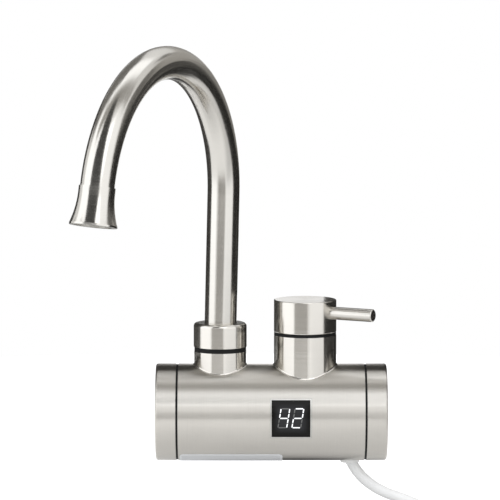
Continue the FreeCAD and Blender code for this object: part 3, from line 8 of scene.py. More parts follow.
import bmesh
import bpy
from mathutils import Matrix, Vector


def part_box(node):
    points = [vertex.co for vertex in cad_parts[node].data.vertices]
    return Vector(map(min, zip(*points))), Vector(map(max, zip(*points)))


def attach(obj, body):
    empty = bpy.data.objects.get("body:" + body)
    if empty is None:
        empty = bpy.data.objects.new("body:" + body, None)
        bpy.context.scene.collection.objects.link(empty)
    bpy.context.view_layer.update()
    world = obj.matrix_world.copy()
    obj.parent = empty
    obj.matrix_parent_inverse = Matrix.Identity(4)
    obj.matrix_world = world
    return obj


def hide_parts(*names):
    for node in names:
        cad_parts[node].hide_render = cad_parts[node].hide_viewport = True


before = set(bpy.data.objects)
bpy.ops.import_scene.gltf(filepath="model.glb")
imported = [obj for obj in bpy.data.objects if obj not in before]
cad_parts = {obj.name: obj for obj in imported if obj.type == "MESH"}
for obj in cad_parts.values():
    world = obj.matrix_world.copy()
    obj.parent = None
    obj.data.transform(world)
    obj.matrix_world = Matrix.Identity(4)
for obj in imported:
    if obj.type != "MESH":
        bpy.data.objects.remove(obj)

LOG = logging.getLogger("heater_tap")
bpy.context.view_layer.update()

Colour = tuple[float, float, float]
Pair = tuple[float, float]
Point = tuple[float, float, float]
Socket = bpy.types.NodeSocket
Inputs = dict[str | int, object]
Rings = list[list[Point | Vector]]

BODY_AXIS_Y = -0.062
BODY_RADIUS = 0.0333
BODY_CENTRE = (0.0, BODY_AXIS_Y, 0.0)
RISER_X = -0.05829
SPOUT_TURN = math.radians(244.6)
LEVER_TURN = math.radians(29.0)
LEVER_ROOT = (0.0, BODY_AXIS_Y, 0.06975)
LEVER_WAY = (math.cos(LEVER_TURN), -math.sin(LEVER_TURN), 0.0)
DISPLAY_X = -0.01
TO_WALL = (0.0, 1.0, 0.0)
UP = (0.0, 0.0, 1.0)
SHARP_ANGLE = math.radians(32.0)
RELIEF_DEPTH = 0.0002
NOISE_RANGE = (0.3, 0.7)
WHITE = (1.0, 1.0, 1.0)
STUDIO_MIDDLE = (-0.035, BODY_AXIS_Y, 0.08)


class Graph:
    """A node tree with short calls to add nodes and link them."""

    def start(self, owner: bpy.types.Material | bpy.types.World) -> None:
        """Empty the node tree of a material or a world, to fill it anew.

        Args:
            owner: The material or world.
        """
        owner.use_nodes = True
        self.tree = owner.node_tree
        self.tree.nodes.clear()

    def feed(self, node: bpy.types.Node, inputs: Inputs) -> None:
        """Set a node's inputs to values, or link sockets to them.

        Args:
            node: The node.
            inputs: Values or sockets, by the input's name or index.
        """
        for key, value in inputs.items():
            socket = node.inputs[key]
            if isinstance(value, Socket):
                self.tree.links.new(value, socket)
            else:
                socket.default_value = (*value, 1.0) if socket.type == "RGBA" else value

    def add(self, kind: str, inputs: Inputs | None = None, **settings: str) -> bpy.types.Node:
        """Add a node.

        Args:
            kind: The node's type, without the leading "ShaderNode".
            inputs: Values or sockets for its inputs, by name or index.
            **settings: Properties to set on the node before its inputs.

        Returns:
            The new node.
        """
        node = self.tree.nodes.new("ShaderNode" + kind)
        for name, value in settings.items():
            setattr(node, name, value)
        self.feed(node, inputs or {})
        return node

    def maths(self, operation: str, *ends: Socket | float) -> Socket:
        """The result of a Math node on one or two values."""
        return self.add("Math", dict(enumerate(ends)), operation=operation).outputs[0]

    def vectors(self, operation: str, *ends: Socket | Point) -> Socket:
        """The result of a Vector Math node on one or two vectors."""
        return self.add("VectorMath", dict(enumerate(ends)), operation=operation).outputs[0]

    def measure(self, operation: str, *ends: Socket | Point) -> Socket:
        """The single number that a Vector Math node gives, such as a length."""
        return self.add("VectorMath", dict(enumerate(ends)), operation=operation).outputs["Value"]

    def split(self, vector: Socket) -> bpy.types.NodeOutputs:
        """A vector's parts, by the names X, Y and Z."""
        return self.add("SeparateXYZ", {0: vector}).outputs

    def ranged(self, value: Socket, low: float, high: float, to_low: float, to_high: float) -> Socket:
        """A value carried from one range to another and held inside it."""
        limits = {"Value": value, "From Min": low, "From Max": high, "To Min": to_low, "To Max": to_high}
        return self.add("MapRange", limits).outputs["Result"]

    def varied(self, noise: Socket, low: float = 0.0, high: float = 1.0) -> Socket:
        """A noise's middle range carried to another range."""
        return self.ranged(noise, *NOISE_RANGE, low, high)

    def mixed(self, amount: Socket, first: Socket | Colour, second: Socket | Colour) -> Socket:
        """Two colours mixed, with as much of the second as the amount says."""
        return self.add("Mix", {0: amount, 6: first, 7: second}, data_type="RGBA").outputs[2]

    def blended(self, amount: Socket, first: Socket, second: Socket) -> Socket:
        """Two vectors mixed, with as much of the second as the amount says."""
        return self.add("Mix", {0: amount, 4: first, 5: second}, data_type="VECTOR").outputs[1]

    def noise(self, where: Socket, scale: float, detail: float = 2.0) -> Socket:
        """The strength of a noise texture at a place."""
        return self.add("TexNoise", {"Vector": where, "Scale": scale, "Detail": detail}).outputs["Fac"]


def scaled(colour: Colour, factor: float) -> Colour:
    """A colour made lighter or darker by a factor."""
    return tuple(min(channel * factor, 1.0) for channel in colour)


@dataclass
class Finish(Graph):
    """A finish, as the graph of a material with a Principled shader."""

    name: str

    def material(self) -> bpy.types.Material:
        """A new material with this finish.

        Returns:
            The material.
        """
        material = bpy.data.materials.new(self.name)
        self.start(material)
        self.shader = self.add("BsdfPrincipled")
        self.add("OutputMaterial", {"Surface": self.shader.outputs["BSDF"]})
        self.where = self.add("TexCoord").outputs["Object"]
        self.fill()
        return material

    def fill(self) -> None:
        """Set the shader up, which each kind of finish does in its own way."""
        raise NotImplementedError

    def shade(self, inputs: Inputs) -> None:
        """Set or link the shader's inputs."""
        self.feed(self.shader, inputs)

    def toned(self, noise: Socket, colour: Colour, darkest: float) -> Socket:
        """A colour that a noise darkens, at most to a share of itself."""
        return self.mixed(self.varied(noise), scaled(colour, darkest), colour)

    def bump(self, height: Socket, strength: float, depth: float = RELIEF_DEPTH) -> None:
        """Raise the surface by a height from 0 to 1, over a depth in metres."""
        relief = self.add("Bump", {"Strength": strength, "Distance": depth, "Height": height})
        self.shade({"Normal": relief.outputs["Normal"]})


class Grain(Enum):
    """What the brush ran round: a point and the axis's direction, or for the spout its bend's."""

    BARREL = (BODY_CENTRE, (1.0, 0.0, 0.0))
    HANDLE = (BODY_CENTRE, UP)
    LEVER = (LEVER_ROOT, LEVER_WAY)
    COLLAR = ((RISER_X, BODY_AXIS_Y, 0.0), UP)
    SPOUT = ((RISER_X, BODY_AXIS_Y, 0.052), (math.cos(SPOUT_TURN), math.sin(SPOUT_TURN), 0.0))


@dataclass
class BrushedSteel(Finish):
    """Satin stainless steel with fine brush lines."""

    grain: Grain
    colour: Colour = (0.645, 0.62, 0.575)
    roughness: float = 0.2
    stretch: float = 0.5
    spread: float = 0.03
    spread_range: Pair = (0.25, 0.75)
    line_width: float = 0.00035
    line_scale: float = 1.6
    line_tone: float = 0.95
    cloud_scale: float = 55.0
    cloud_tone: float = 1.04
    cloud_range: tuple[float, ...] = (0.35, 0.65, 0.0, 0.35)
    relief: float = 0.03

    def lines(self, slow: Socket, travel: Socket) -> Socket:
        """Coordinates that change slowly along brush lines, and fast with the travel across them."""
        fast = self.add("CombineXYZ", {0: self.maths("MULTIPLY", travel, 1.0 / self.line_width)})
        return self.vectors("ADD", slow, fast.outputs[0])

    def rings(self, centre: Point, axis: Point) -> tuple[Socket, Socket]:
        """Brush lines that run round an axis, and the way across them in which they spread the light.

        Args:
            centre: A point on the axis.
            axis: The axis's direction.

        Returns:
            Coordinates for a noise texture of scale 1, and the shader's tangent.
        """
        out = self.vectors("SUBTRACT", self.where, centre)
        along = self.measure("DOT_PRODUCT", out, axis)
        on_axis = self.add("VectorMath", {0: axis, "Scale": along}, operation="SCALE").outputs[0]
        across = self.vectors("SUBTRACT", out, on_axis)
        turn = self.vectors("NORMALIZE", across)
        travel = self.maths("ADD", along, self.measure("LENGTH", across))
        slow = self.vectors("MULTIPLY", turn, (self.line_scale,) * 3)
        return self.lines(slow, travel), self.vectors("ADD", turn, axis)

    def brushing(self) -> tuple[Socket, Socket]:
        """The brush lines and the shader's tangent."""
        return self.rings(*self.grain.value)

    def blur(self) -> Socket | float:
        """The roughness before the brush lines vary it."""
        return self.roughness

    def fill(self) -> None:
        """Set the shader up as brushed steel."""
        lines, tangent = self.brushing()
        streaks = self.noise(lines, 1.0, detail=3.0)
        clouds = self.ranged(self.noise(self.where, self.cloud_scale), *self.cloud_range)
        tone = self.toned(streaks, self.colour, self.line_tone)
        uneven = self.ranged(streaks, *self.spread_range, -self.spread, self.spread)
        self.shade({
            "Base Color": self.mixed(clouds, tone, scaled(self.colour, self.cloud_tone)),
            "Roughness": self.maths("ADD", self.blur(), uneven),
            "Tangent": tangent, "Anisotropic": self.stretch, "Metallic": 1.0,
        })
        self.bump(streaks, self.relief)


@dataclass
class ShellSteel(BrushedSteel):
    """The shell's steel, brushed round the barrel and round its two turned necks."""

    neck_roughness: float = 0.17
    necks: tuple[Pair, ...] = ((RISER_X, 0.0179), (0.0, 0.02145))
    neck_fade: Pair = (0.0004, 0.0014)
    neck_foot: Pair = (0.0, 0.004)

    def neck_mask(self, x: float, radius: float) -> Socket:
        """How much of a place belongs to a neck.

        Args:
            x: Where the neck stands along the body.
            radius: The neck's radius.

        Returns:
            1 on the neck and 0 elsewhere.
        """
        out = self.vectors("SUBTRACT", self.where, (x, BODY_AXIS_Y, 0.0))
        reach = self.measure("LENGTH", self.vectors("MULTIPLY", out, (1.0, 1.0, 0.0)))
        near = self.ranged(reach, radius + self.neck_fade[0], radius + self.neck_fade[1], 1.0, 0.0)
        above = self.ranged(self.split(self.where)["Z"], *self.neck_foot, 0.0, 1.0)
        return self.maths("MULTIPLY", near, above)

    def blur(self) -> Socket | float:
        """The roughness before the brush lines vary it, lower on the necks."""
        masks = [self.neck_mask(*neck) for neck in self.necks]
        return self.ranged(self.maths("MAXIMUM", *masks), 0.0, 1.0, self.roughness, self.neck_roughness)

    def brushing(self) -> tuple[Socket, Socket]:
        """The brush lines on the barrel and on the necks.

        Returns:
            Coordinates for a noise texture of scale 1, and the shader's tangent.
        """
        brushed = super().brushing()
        for x, radius in self.necks:
            mask = self.neck_mask(x, radius)
            upright = self.rings((x, BODY_AXIS_Y, 0.0), UP)
            brushed = tuple(self.blended(mask, *pair) for pair in zip(brushed, upright))
        return brushed


@dataclass
class SpoutSteel(BrushedSteel):
    """The spout's steel, brushed round its upright riser and its bend."""

    line_scale: float = 40.0
    riser: float = 0.0994
    bend: float = 0.0926

    def brushing(self) -> tuple[Socket, Socket]:
        """The brush lines round the tube.

        Returns:
            Coordinates for a noise texture of scale 1, and the shader's tangent.
        """
        foot, way = self.grain.value
        out = self.vectors("SUBTRACT", self.where, foot)
        reach = self.measure("DOT_PRODUCT", out, way)
        height = self.split(out)["Z"]
        over = self.maths("SUBTRACT", height, self.riser)
        angle = self.maths("ARCTAN2", over, self.maths("SUBTRACT", self.bend, reach))
        turn = self.maths("MULTIPLY", angle, self.maths("GREATER_THAN", over, 0.0))
        straight = self.maths("MINIMUM", height, self.riser)
        travel = self.maths("ADD", self.maths("MULTIPLY", turn, self.bend), straight)
        slow = self.vectors("MULTIPLY", self.where, (self.line_scale,) * 3)
        outward = self.maths("SINE", turn)
        tangent = self.add("CombineXYZ", {
            0: self.maths("MULTIPLY", outward, way[0]), 1: self.maths("MULTIPLY", outward, way[1]),
            2: self.maths("COSINE", turn),
        })
        return self.lines(slow, travel), tangent.outputs[0]


@dataclass
class Skin(Finish):
    """A fine skin over slow changes of tone, as on moulded plastic, rubber or ceramic."""

    colour: Colour
    roughness: float = 0.45
    skin_scale: float = 1400.0
    relief: float = 0.06
    variation: float = 0.12
    coat: float = 0.0
    shine: float = 0.5
    spread: float = 0.06
    flow_scale: float = 70.0
    skin_stretch: Point = (1.0, 1.0, 1.0)
    metal: float = 0.0

    def fill(self) -> None:
        """Set the shader up with the skin."""
        stretched = self.vectors("MULTIPLY", self.where, self.skin_stretch)
        skin = self.noise(stretched, self.skin_scale, detail=3.0)
        flow = self.noise(self.where, self.flow_scale)
        self.shade({
            "Base Color": self.toned(flow, self.colour, 1.0 - self.variation),
            "Roughness": self.varied(skin, self.roughness - self.spread, self.roughness + self.spread),
            "Coat Weight": self.coat, "Specular IOR Level": self.shine, "Metallic": self.metal,
        })
        self.bump(skin, self.relief)


@dataclass
class PlainMetal(Skin):
    """A turned or pressed metal without a brushed finish, such as screws, brass and the tank."""

    roughness: float = 0.3
    skin_scale: float = 900.0
    relief: float = 0.08
    variation: float = 0.18
    spread: float = 0.08
    flow_scale: float = 120.0
    skin_stretch: Point = (1.0, 1.0, 3.0)
    metal: float = 1.0


@dataclass
class SmokedLens(Finish):
    """The display's dark window, a little paler where the lit module stands behind it."""

    name: str = "smoked lens"
    dark: Colour = (0.010, 0.0095, 0.009)
    panel: Colour = (0.031, 0.031, 0.033)
    half_panel: Pair = (0.0095, 0.0085)
    fade: float = 0.002
    centre: Pair = (DISPLAY_X, 0.0)
    roughness: Pair = (0.12, 0.2)
    dust_scale: float = 2600.0
    shine: float = 0.1

    def fill(self) -> None:
        """Set the shader up as the lens."""
        parts = self.split(self.where)
        sides = []
        for axis, middle, half in zip("XZ", self.centre, self.half_panel):
            away = self.maths("ABSOLUTE", self.maths("SUBTRACT", parts[axis], middle))
            sides.append(self.ranged(away, half - self.fade, half + self.fade, 1.0, 0.0))
        self.shade({
            "Base Color": self.mixed(self.maths("MULTIPLY", *sides), self.dark, self.panel),
            "Roughness": self.varied(self.noise(self.where, self.dust_scale), *self.roughness),
            "Specular IOR Level": self.shine,
        })


@dataclass
class SegmentGlow(Finish):
    """A glowing bar of the display, lit or unlit, with a fine grain; an unlit bar's faint glow is painted
    light.
    """

    colour: Colour
    glow: float
    grain_scale: float = 1800.0
    grain_tone: float = 0.9
    roughness: float = 0.5

    def fill(self) -> None:
        """Set the shader up as a glowing bar."""
        tone = self.toned(self.noise(self.where, self.grain_scale, detail=1.0), self.colour, self.grain_tone)
        self.shade({"Base Color": tone, "Emission Color": tone})
        self.shade({"Emission Strength": self.glow, "Roughness": self.roughness})


@dataclass
class CircuitBoard(Finish):
    """Green circuit board with copper paths under the lacquer."""

    name: str = "circuit board"
    ground: Colour = (0.012, 0.09, 0.035)
    path: Colour = (0.03, 0.17, 0.06)
    path_scale: float = 420.0
    path_edge: Pair = (0.28, 0.34)
    roughness: float = 0.35
    relief: float = 0.15

    def fill(self) -> None:
        """Set the shader up as a circuit board."""
        place = {"Vector": self.where, "Scale": self.path_scale}
        cells = self.add("TexVoronoi", place, distance="MANHATTAN").outputs["Distance"]
        paths = self.ranged(cells, *self.path_edge, 0.0, 1.0)
        self.shade({"Base Color": self.mixed(paths, self.ground, self.path), "Roughness": self.roughness})
        self.bump(paths, self.relief, RELIEF_DEPTH / 2.0)


@dataclass
class BareLabel(Finish):
    """A blank silver label with a faint grain of the foil and a paler border."""

    name: str = "blank label"
    colour: Colour = (0.86, 0.87, 0.88)
    panel: float = 0.87
    worn: float = 0.92
    border: float = 0.0012
    border_fade: float = 1.4
    top_turn: float = math.radians(51.7)
    foil_scale: float = 1500.0
    foil_stretch: Point = (3.0, 1.0, 1.0)
    roughness: Pair = (0.34, 0.46)
    metal: float = 0.1
    relief: float = 0.05

    def edge_distance(self) -> Socket:
        """How far a place on the label is from its upper edge and its ends.

        Returns:
            The distance in metres.
        """
        low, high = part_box("blank_label")
        parts = self.split(self.where)
        ahead = self.maths("SUBTRACT", BODY_AXIS_Y, parts["Y"])
        turn = self.maths("ARCTAN2", self.maths("MULTIPLY", parts["Z"], -1.0), ahead)
        below = self.maths("MULTIPLY", self.maths("SUBTRACT", turn, self.top_turn), BODY_RADIUS)
        left = self.maths("SUBTRACT", parts["X"], low[0])
        right = self.maths("SUBTRACT", high[0], parts["X"])
        return self.maths("MINIMUM", below, self.maths("MINIMUM", left, right))

    def fill(self) -> None:
        """Set the shader up as the label."""
        foil = self.noise(self.vectors("MULTIPLY", self.where, self.foil_stretch), self.foil_scale)
        inside = self.ranged(self.edge_distance(), self.border, self.border_fade * self.border, 0.0, 1.0)
        fresh, worn = (
            self.mixed(inside, scaled(self.colour, tone), scaled(self.colour, tone * self.panel))
            for tone in (1.0, self.worn)
        )
        self.shade({
            "Base Color": self.mixed(self.varied(foil), worn, fresh),
            "Roughness": self.varied(foil, *self.roughness), "Metallic": self.metal,
        })
        self.bump(foil, self.relief, RELIEF_DEPTH / 2.0)


BLACK_RUBBER = Skin("black rubber", (0.006, 0.006, 0.006), 0.55, 1600.0, 0.08, 0.2, shine=0.2)
WHITE_PVC = Skin("white pvc", (0.83, 0.83, 0.82), 0.4, 900.0, 0.05, 0.03)
GREY_PLASTIC = Skin("grey plastic", (0.34, 0.34, 0.35), 0.5)
PALE_PLASTIC = Skin("pale plastic", (0.84, 0.84, 0.83), 0.45)
CERAMIC = Skin("white ceramic", (0.82, 0.81, 0.78), 0.25, 2000.0, 0.03, 0.05, 0.3)
LED_FACE = Skin("led face", (0.05, 0.05, 0.055), 0.5)
BRASS = PlainMetal("brass", (0.72, 0.52, 0.24), 0.28)
SCREW_STEEL = PlainMetal("screw steel", (0.55, 0.55, 0.55), 0.3)


def dress(finish: Finish, *nodes: str) -> None:
    """Give CAD nodes a finish.

    Args:
        finish: The finish whose material they take.
        *nodes: The names of the nodes.
    """
    material = finish.material()
    for name in nodes:
        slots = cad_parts[name].data.materials
        slots.clear()
        slots.append(material)
        LOG.info("dressed %s in %s", name, finish.name)


def linked(name: str, data: bpy.types.ID) -> bpy.types.Object:
    """A new object in the scene.

    Args:
        name: The object's name.
        data: Its mesh, curve, camera or light.

    Returns:
        The object.
    """
    thing = bpy.data.objects.new(name, data)
    bpy.context.scene.collection.objects.link(thing)
    return thing


def meshed(name: str, mesh: bmesh.types.BMesh, material: bpy.types.Material) -> bpy.types.Object:
    """A new object in the scene from a mesh under construction.

    Args:
        name: The object's name.
        mesh: The mesh, which is used up.
        material: Its material.

    Returns:
        The object.
    """
    data = bpy.data.meshes.new(name)
    mesh.to_mesh(data)
    mesh.free()
    data.materials.append(material)
    return linked(name, data)


def lofted(mesh: bmesh.types.BMesh, rings: Rings, loop: bool) -> None:
    """Join rings of points by quads.

    Args:
        mesh: The mesh under construction.
        rings: The rings in order, each with as many points as the others.
        loop: Whether the last ring joins the first; otherwise both ends are closed.
    """
    lines = [[mesh.verts.new(point) for point in ring] for ring in rings]
    pairs = list(zip(lines, lines[1:]))
    if loop:
        pairs.append((lines[-1], lines[0]))
    else:
        mesh.faces.new(lines[0][::-1])
        mesh.faces.new(lines[-1])
    for lower, upper in pairs:
        for index, vertex in enumerate(lower):
            after = (index + 1) % len(lower)
            mesh.faces.new((vertex, lower[after], upper[after], upper[index]))


def mesh_piece(
    name: str, shells: list[Rings], finish: Finish, slot: str, *nodes: str,
    body: str = "base", loop: bool = False,
) -> bpy.types.Object:
    """A new piece of the tap.

    Args:
        name: The piece's name.
        shells: Its shells, each as rings of points in order.
        finish: The finish whose material it takes.
        slot: The material slot that it would stand for; not used.
        *nodes: The CAD nodes that it replaces, if any.
        body: The body that it rides on.
        loop: Whether each shell's last ring joins its first.

    Returns:
        The piece.
    """
    mesh = bmesh.new()
    for rings in shells:
        lofted(mesh, rings, loop)
    bmesh.ops.recalc_face_normals(mesh, faces=mesh.faces)
    piece = meshed(name, mesh, finish.material())
    piece.data.shade_smooth()
    piece.data.set_sharp_from_angle(angle=SHARP_ANGLE)
    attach(piece, body)
    if nodes:
        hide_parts(*nodes)
    LOG.info("built %s", name)
    return piece


def spaced(first: float, last: float, steps: int) -> list[float]:
    """Evenly spaced values from the first to the last."""
    return [first + (last - first) * step / steps for step in range(steps + 1)]


def angles(count: int) -> list[float]:
    """Evenly spaced angles round a circle."""
    return spaced(0.0, math.tau, count)[:-1]


def round_y(x: float, y: float, z: float, reach: float, turn: float) -> Point:
    """A place at a reach and an angle from a line along Y."""
    return (x + reach * math.cos(turn), y, z + reach * math.sin(turn))


def hexagon_radius(turn: float, flats: float) -> float:
    """How far a hexagon, so wide across its flats, reaches at an angle from one of its corners."""
    sixth = math.pi / 3.0
    return flats / 2.0 / math.cos(turn % sixth - sixth / 2.0)


@dataclass
class PhotoCamera:
    """The camera of the photograph."""

    place: Point = (-0.03785, -2.2258, 0.3326)
    tilt: float = math.radians(90.0 - 5.82)
    lens: float = 228.4
    sensor: float = 36.0
    farthest: float = 50.0

    def build(self) -> None:
        """Add the camera and make it the scene's own."""
        data = bpy.data.cameras.new("photo_camera")
        data.sensor_fit = "HORIZONTAL"
        data.sensor_width = self.sensor
        data.lens = self.lens
        data.clip_end = self.farthest
        camera = linked("photo_camera", data)
        camera.location = self.place
        camera.rotation_euler = (self.tilt, 0.0, 0.0)
        bpy.context.scene.camera = camera


@dataclass
class MainsCord:
    """The white mains cord: a run down to the floor, a tied coil, and its plug."""

    exit: Point = (0.031, BODY_AXIS_Y, -BODY_RADIUS)
    diameter: float = 0.0075
    length: float = 0.858
    coil_radius: float = 0.0441
    coil_turns: int = 2
    pitch: float = 0.0084
    rise: float = 0.0084
    points_per_turn: int = 16
    strap_wall: float = 0.0012
    strap_edge: float = 0.3
    strap_steps: int = 24
    plug_radius: float = 0.0184
    plug_neck: float = 0.0065
    ribs: int = 5
    first_rib: float = 0.7
    rib_spacing: float = 0.0023
    rib_points: int = 40
    rib_profile: tuple[Pair, ...] = (
        (-0.0003, 0.0008), (0.0006, 0.0005), (0.0008, 0.0), (0.0006, -0.0005), (-0.0003, -0.0008),
    )
    route: tuple[Point, ...] = (
        (-0.00355, 0.0, 0.0073), (0.0005, 0.0, -0.001), (0.0053, 0.0, -0.0086), (0.0117, 0.0, -0.01535),
        (0.0227, 0.0, -0.0226), (0.0398, 0.0, -0.0283), (0.0576, 0.0, -0.0367), (0.0905, 0.0, -0.0574),
        (0.1094, 0.0, -0.065), (0.1303, 0.0, -0.0686), (0.1521, 0.0, -0.06925),
        (0.1721, -0.004, -0.06925), (0.1901, -0.016, -0.06925), (0.2011, -0.034, -0.06925),
        (0.2051, -0.053, -0.06925), (0.2051, -0.0705, -0.06925),
    )
    tail: tuple[Point, ...] = (
        (0.2051, -0.0855, -0.06085), (0.2051, -0.1015, -0.06085), (0.2101, -0.13, -0.0545),
        (0.2101, -0.146, -0.0545),
    )

    def coil(self) -> list[Vector]:
        """The coil's turns, in along the lower layer and out along the upper one.

        Returns:
            Points counted from the cord's exit.
        """
        start = Vector(self.route[-1]) + Vector((0.0, -self.diameter, 0.0))
        centre = start - Vector((self.coil_radius, 0.0, 0.0))
        quarters = 4.0 * self.coil_turns
        # Beside each point, the smooth line runs at this share of the point's radius.
        inset = 0.75 + 0.25 * math.cos(math.tau / self.points_per_turn)
        points = []
        for step in range(self.coil_turns * self.points_per_turn + 1):
            quarter = 4.0 * step / self.points_per_turn
            angle = -math.pi / 2.0 * quarter
            radius = (self.coil_radius - self.pitch / 4.0 * min(quarter, quarters - quarter)) / inset
            climb = min(max((quarter - quarters / 2.0 + 1.0) / 2.0, 0.0), 1.0) * self.rise
            points.append(centre + Vector((radius * math.cos(angle), radius * math.sin(angle), climb)))
        return points

    def build_tie(self) -> bpy.types.Object:
        """The soft strap round the coil's two layers, in place of the plain band.

        Returns:
            The strap.
        """
        low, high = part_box("coil_tie")
        across, along = (low[0] + high[0]) / 2.0, (low[1] + high[1]) / 2.0
        outer, half = (high[0] - low[0]) / 2.0, (high[1] - low[1]) / 2.0
        inner, edge = outer - self.strap_wall, self.strap_wall * self.strap_edge
        section = (
            (inner, edge - half), (inner + edge, -half), (outer - edge, -half), (outer, edge - half),
            (outer, half - edge), (outer - edge, half), (inner + edge, half), (inner, half - edge),
        )
        ends = ((low[2] + outer, math.pi), (high[2] - outer, 0.0))
        rings = [
            [round_y(across, along + shift, middle, reach, turn) for reach, shift in section]
            for middle, start in ends for turn in spaced(start, start + math.pi, self.strap_steps)
        ]
        return mesh_piece("coil_strap", [rings], WHITE_PVC, "white_pvc", "coil_tie", loop=True)

    def build_sleeve(self) -> bpy.types.Object:
        """The bend ribs moulded round the plug's neck.

        Returns:
            The ribs, in one piece.
        """
        low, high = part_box("plug_body")
        across, up = high[0] - self.plug_radius, (low[2] + high[2]) / 2.0
        turns = angles(self.rib_points)
        middles = [high[1] - self.rib_spacing * (rib + self.first_rib) for rib in range(self.ribs)]
        shells = [[
            [round_y(across, middle + shift, up, self.plug_neck + proud, turn) for turn in turns]
            for proud, shift in self.rib_profile
        ] for middle in middles]
        return mesh_piece("plug_ribs", shells, WHITE_PVC, "white_pvc")

    def build(self) -> None:
        base = Vector(self.exit)
        points = [base + Vector(step) for step in (*self.route, *self.coil(), *self.tail)]
        data = bpy.data.curves.new("mains_cord", "CURVE")
        data.dimensions = "3D"
        data.bevel_depth = self.diameter / 2.0
        data.bevel_resolution = 8
        data.resolution_u = 10
        data.use_fill_caps = True
        spline = data.splines.new("NURBS")
        spline.points.add(len(points) - 1)
        for point, place in zip(spline.points, points):
            point.co = (*place, 1.0)
        spline.order_u = 3
        spline.use_endpoint_u = True
        data.materials.append(WHITE_PVC.material())
        cord = linked("mains_cord", data)
        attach(cord, "base")
        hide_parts("cord_run", "cord_coil", "cord_tail")
        self.build_tie()
        self.build_sleeve()
        LOG.info("built mains_cord")

    def dress(self) -> None:
        """Finish the pieces on and beside the cord."""
        dress(WHITE_PVC, "cable_grommet", "plug_body")
        dress(BRASS, "plug_contacts")


@dataclass(frozen=True)
class SocketScrew:
    """A screw with a hexagon socket, with a domed head or, without one, as a set screw."""

    tip: Point
    way: Point
    length: float
    radius: float
    flats: float
    head_radius: float = 0.0
    head_height: float = 0.0
    chamfer: float = 0.12
    socket_depth: float = 0.8
    points_round: int = 48
    dome: tuple[Pair, ...] = ((1.0, 0.45), (0.94, 0.24), (0.82, 0.1), (0.66, 0.02), (0.58, 0.0))

    def profile(self) -> list[Pair]:
        """The screw's turned outline.

        Returns:
            Pairs of radius and distance from the tip.
        """
        cut = self.radius * self.chamfer
        outline = [(self.radius - cut, 0.0), (self.radius, cut)]
        if not self.head_height:
            return outline + [(self.radius, self.length - cut), (self.radius - cut, self.length)]
        top = self.length + self.head_height
        outline += [(self.radius, self.length), (self.head_radius, self.length)]
        return outline + [
            (self.head_radius * share, top - self.head_height * drop) for share, drop in self.dome
        ]

    def rings(self) -> Rings:
        """The screw's surface, from its tip over its head and down into its socket.

        Returns:
            Rings of points, in order.
        """
        way = Vector(self.way).normalized()
        side = way.orthogonal().normalized()
        other = way.cross(side)
        turns = angles(self.points_round)
        socket = [hexagon_radius(turn, self.flats) for turn in turns]
        top = self.length + self.head_height
        rows = [([reach] * len(turns), along) for reach, along in self.profile()]
        rows += [(socket, top), (socket, top - self.flats * self.socket_depth)]
        tip = Vector(self.tip)
        rims = [side * math.cos(turn) + other * math.sin(turn) for turn in turns]
        return [
            [tip + way * along + rim * reach for rim, reach in zip(rims, reaches)] for reaches, along in rows
        ]


@dataclass
class Barrel:
    """The lying body: shell, end caps, gaskets, rear screws and blank label."""

    screw_places: Pair = (-0.0821, 0.0356)
    screw_tip: float = -0.0316
    screw_length: float = 0.0029
    roughness: float = 0.37

    def build(self) -> None:
        """Add the rear screws."""
        sizes = {"radius": 0.0015, "flats": 0.002, "head_radius": 0.00275, "head_height": 0.0016}
        tips = [(x, self.screw_tip, 0.0) for x in self.screw_places]
        screws = [SocketScrew(tip, TO_WALL, self.screw_length, **sizes).rings() for tip in tips]
        mesh_piece("rear_screws", screws, SCREW_STEEL, "plain_steel", "cap_screws")

    def dress(self) -> None:
        """Finish the body's pieces."""
        lying = {"grain": Grain.BARREL, "roughness": self.roughness, "stretch": 1.0}
        dress(ShellSteel("shell steel", **lying), "body_shell")
        dress(BrushedSteel("cap steel", **lying), "end_cap_left", "end_cap_right")
        dress(BLACK_RUBBER, "end_gaskets")
        dress(BareLabel(), "blank_label")


class Segment(Enum):
    """The seven bars of a digit."""

    TOP = "top"
    UPPER_LEFT = "upper left"
    UPPER_RIGHT = "upper right"
    MIDDLE = "middle"
    LOWER_LEFT = "lower left"
    LOWER_RIGHT = "lower right"
    BOTTOM = "bottom"


LIT_BARS = {
    4: (Segment.UPPER_LEFT, Segment.UPPER_RIGHT, Segment.MIDDLE, Segment.LOWER_RIGHT),
    2: (Segment.TOP, Segment.UPPER_RIGHT, Segment.MIDDLE, Segment.LOWER_LEFT, Segment.BOTTOM),
}


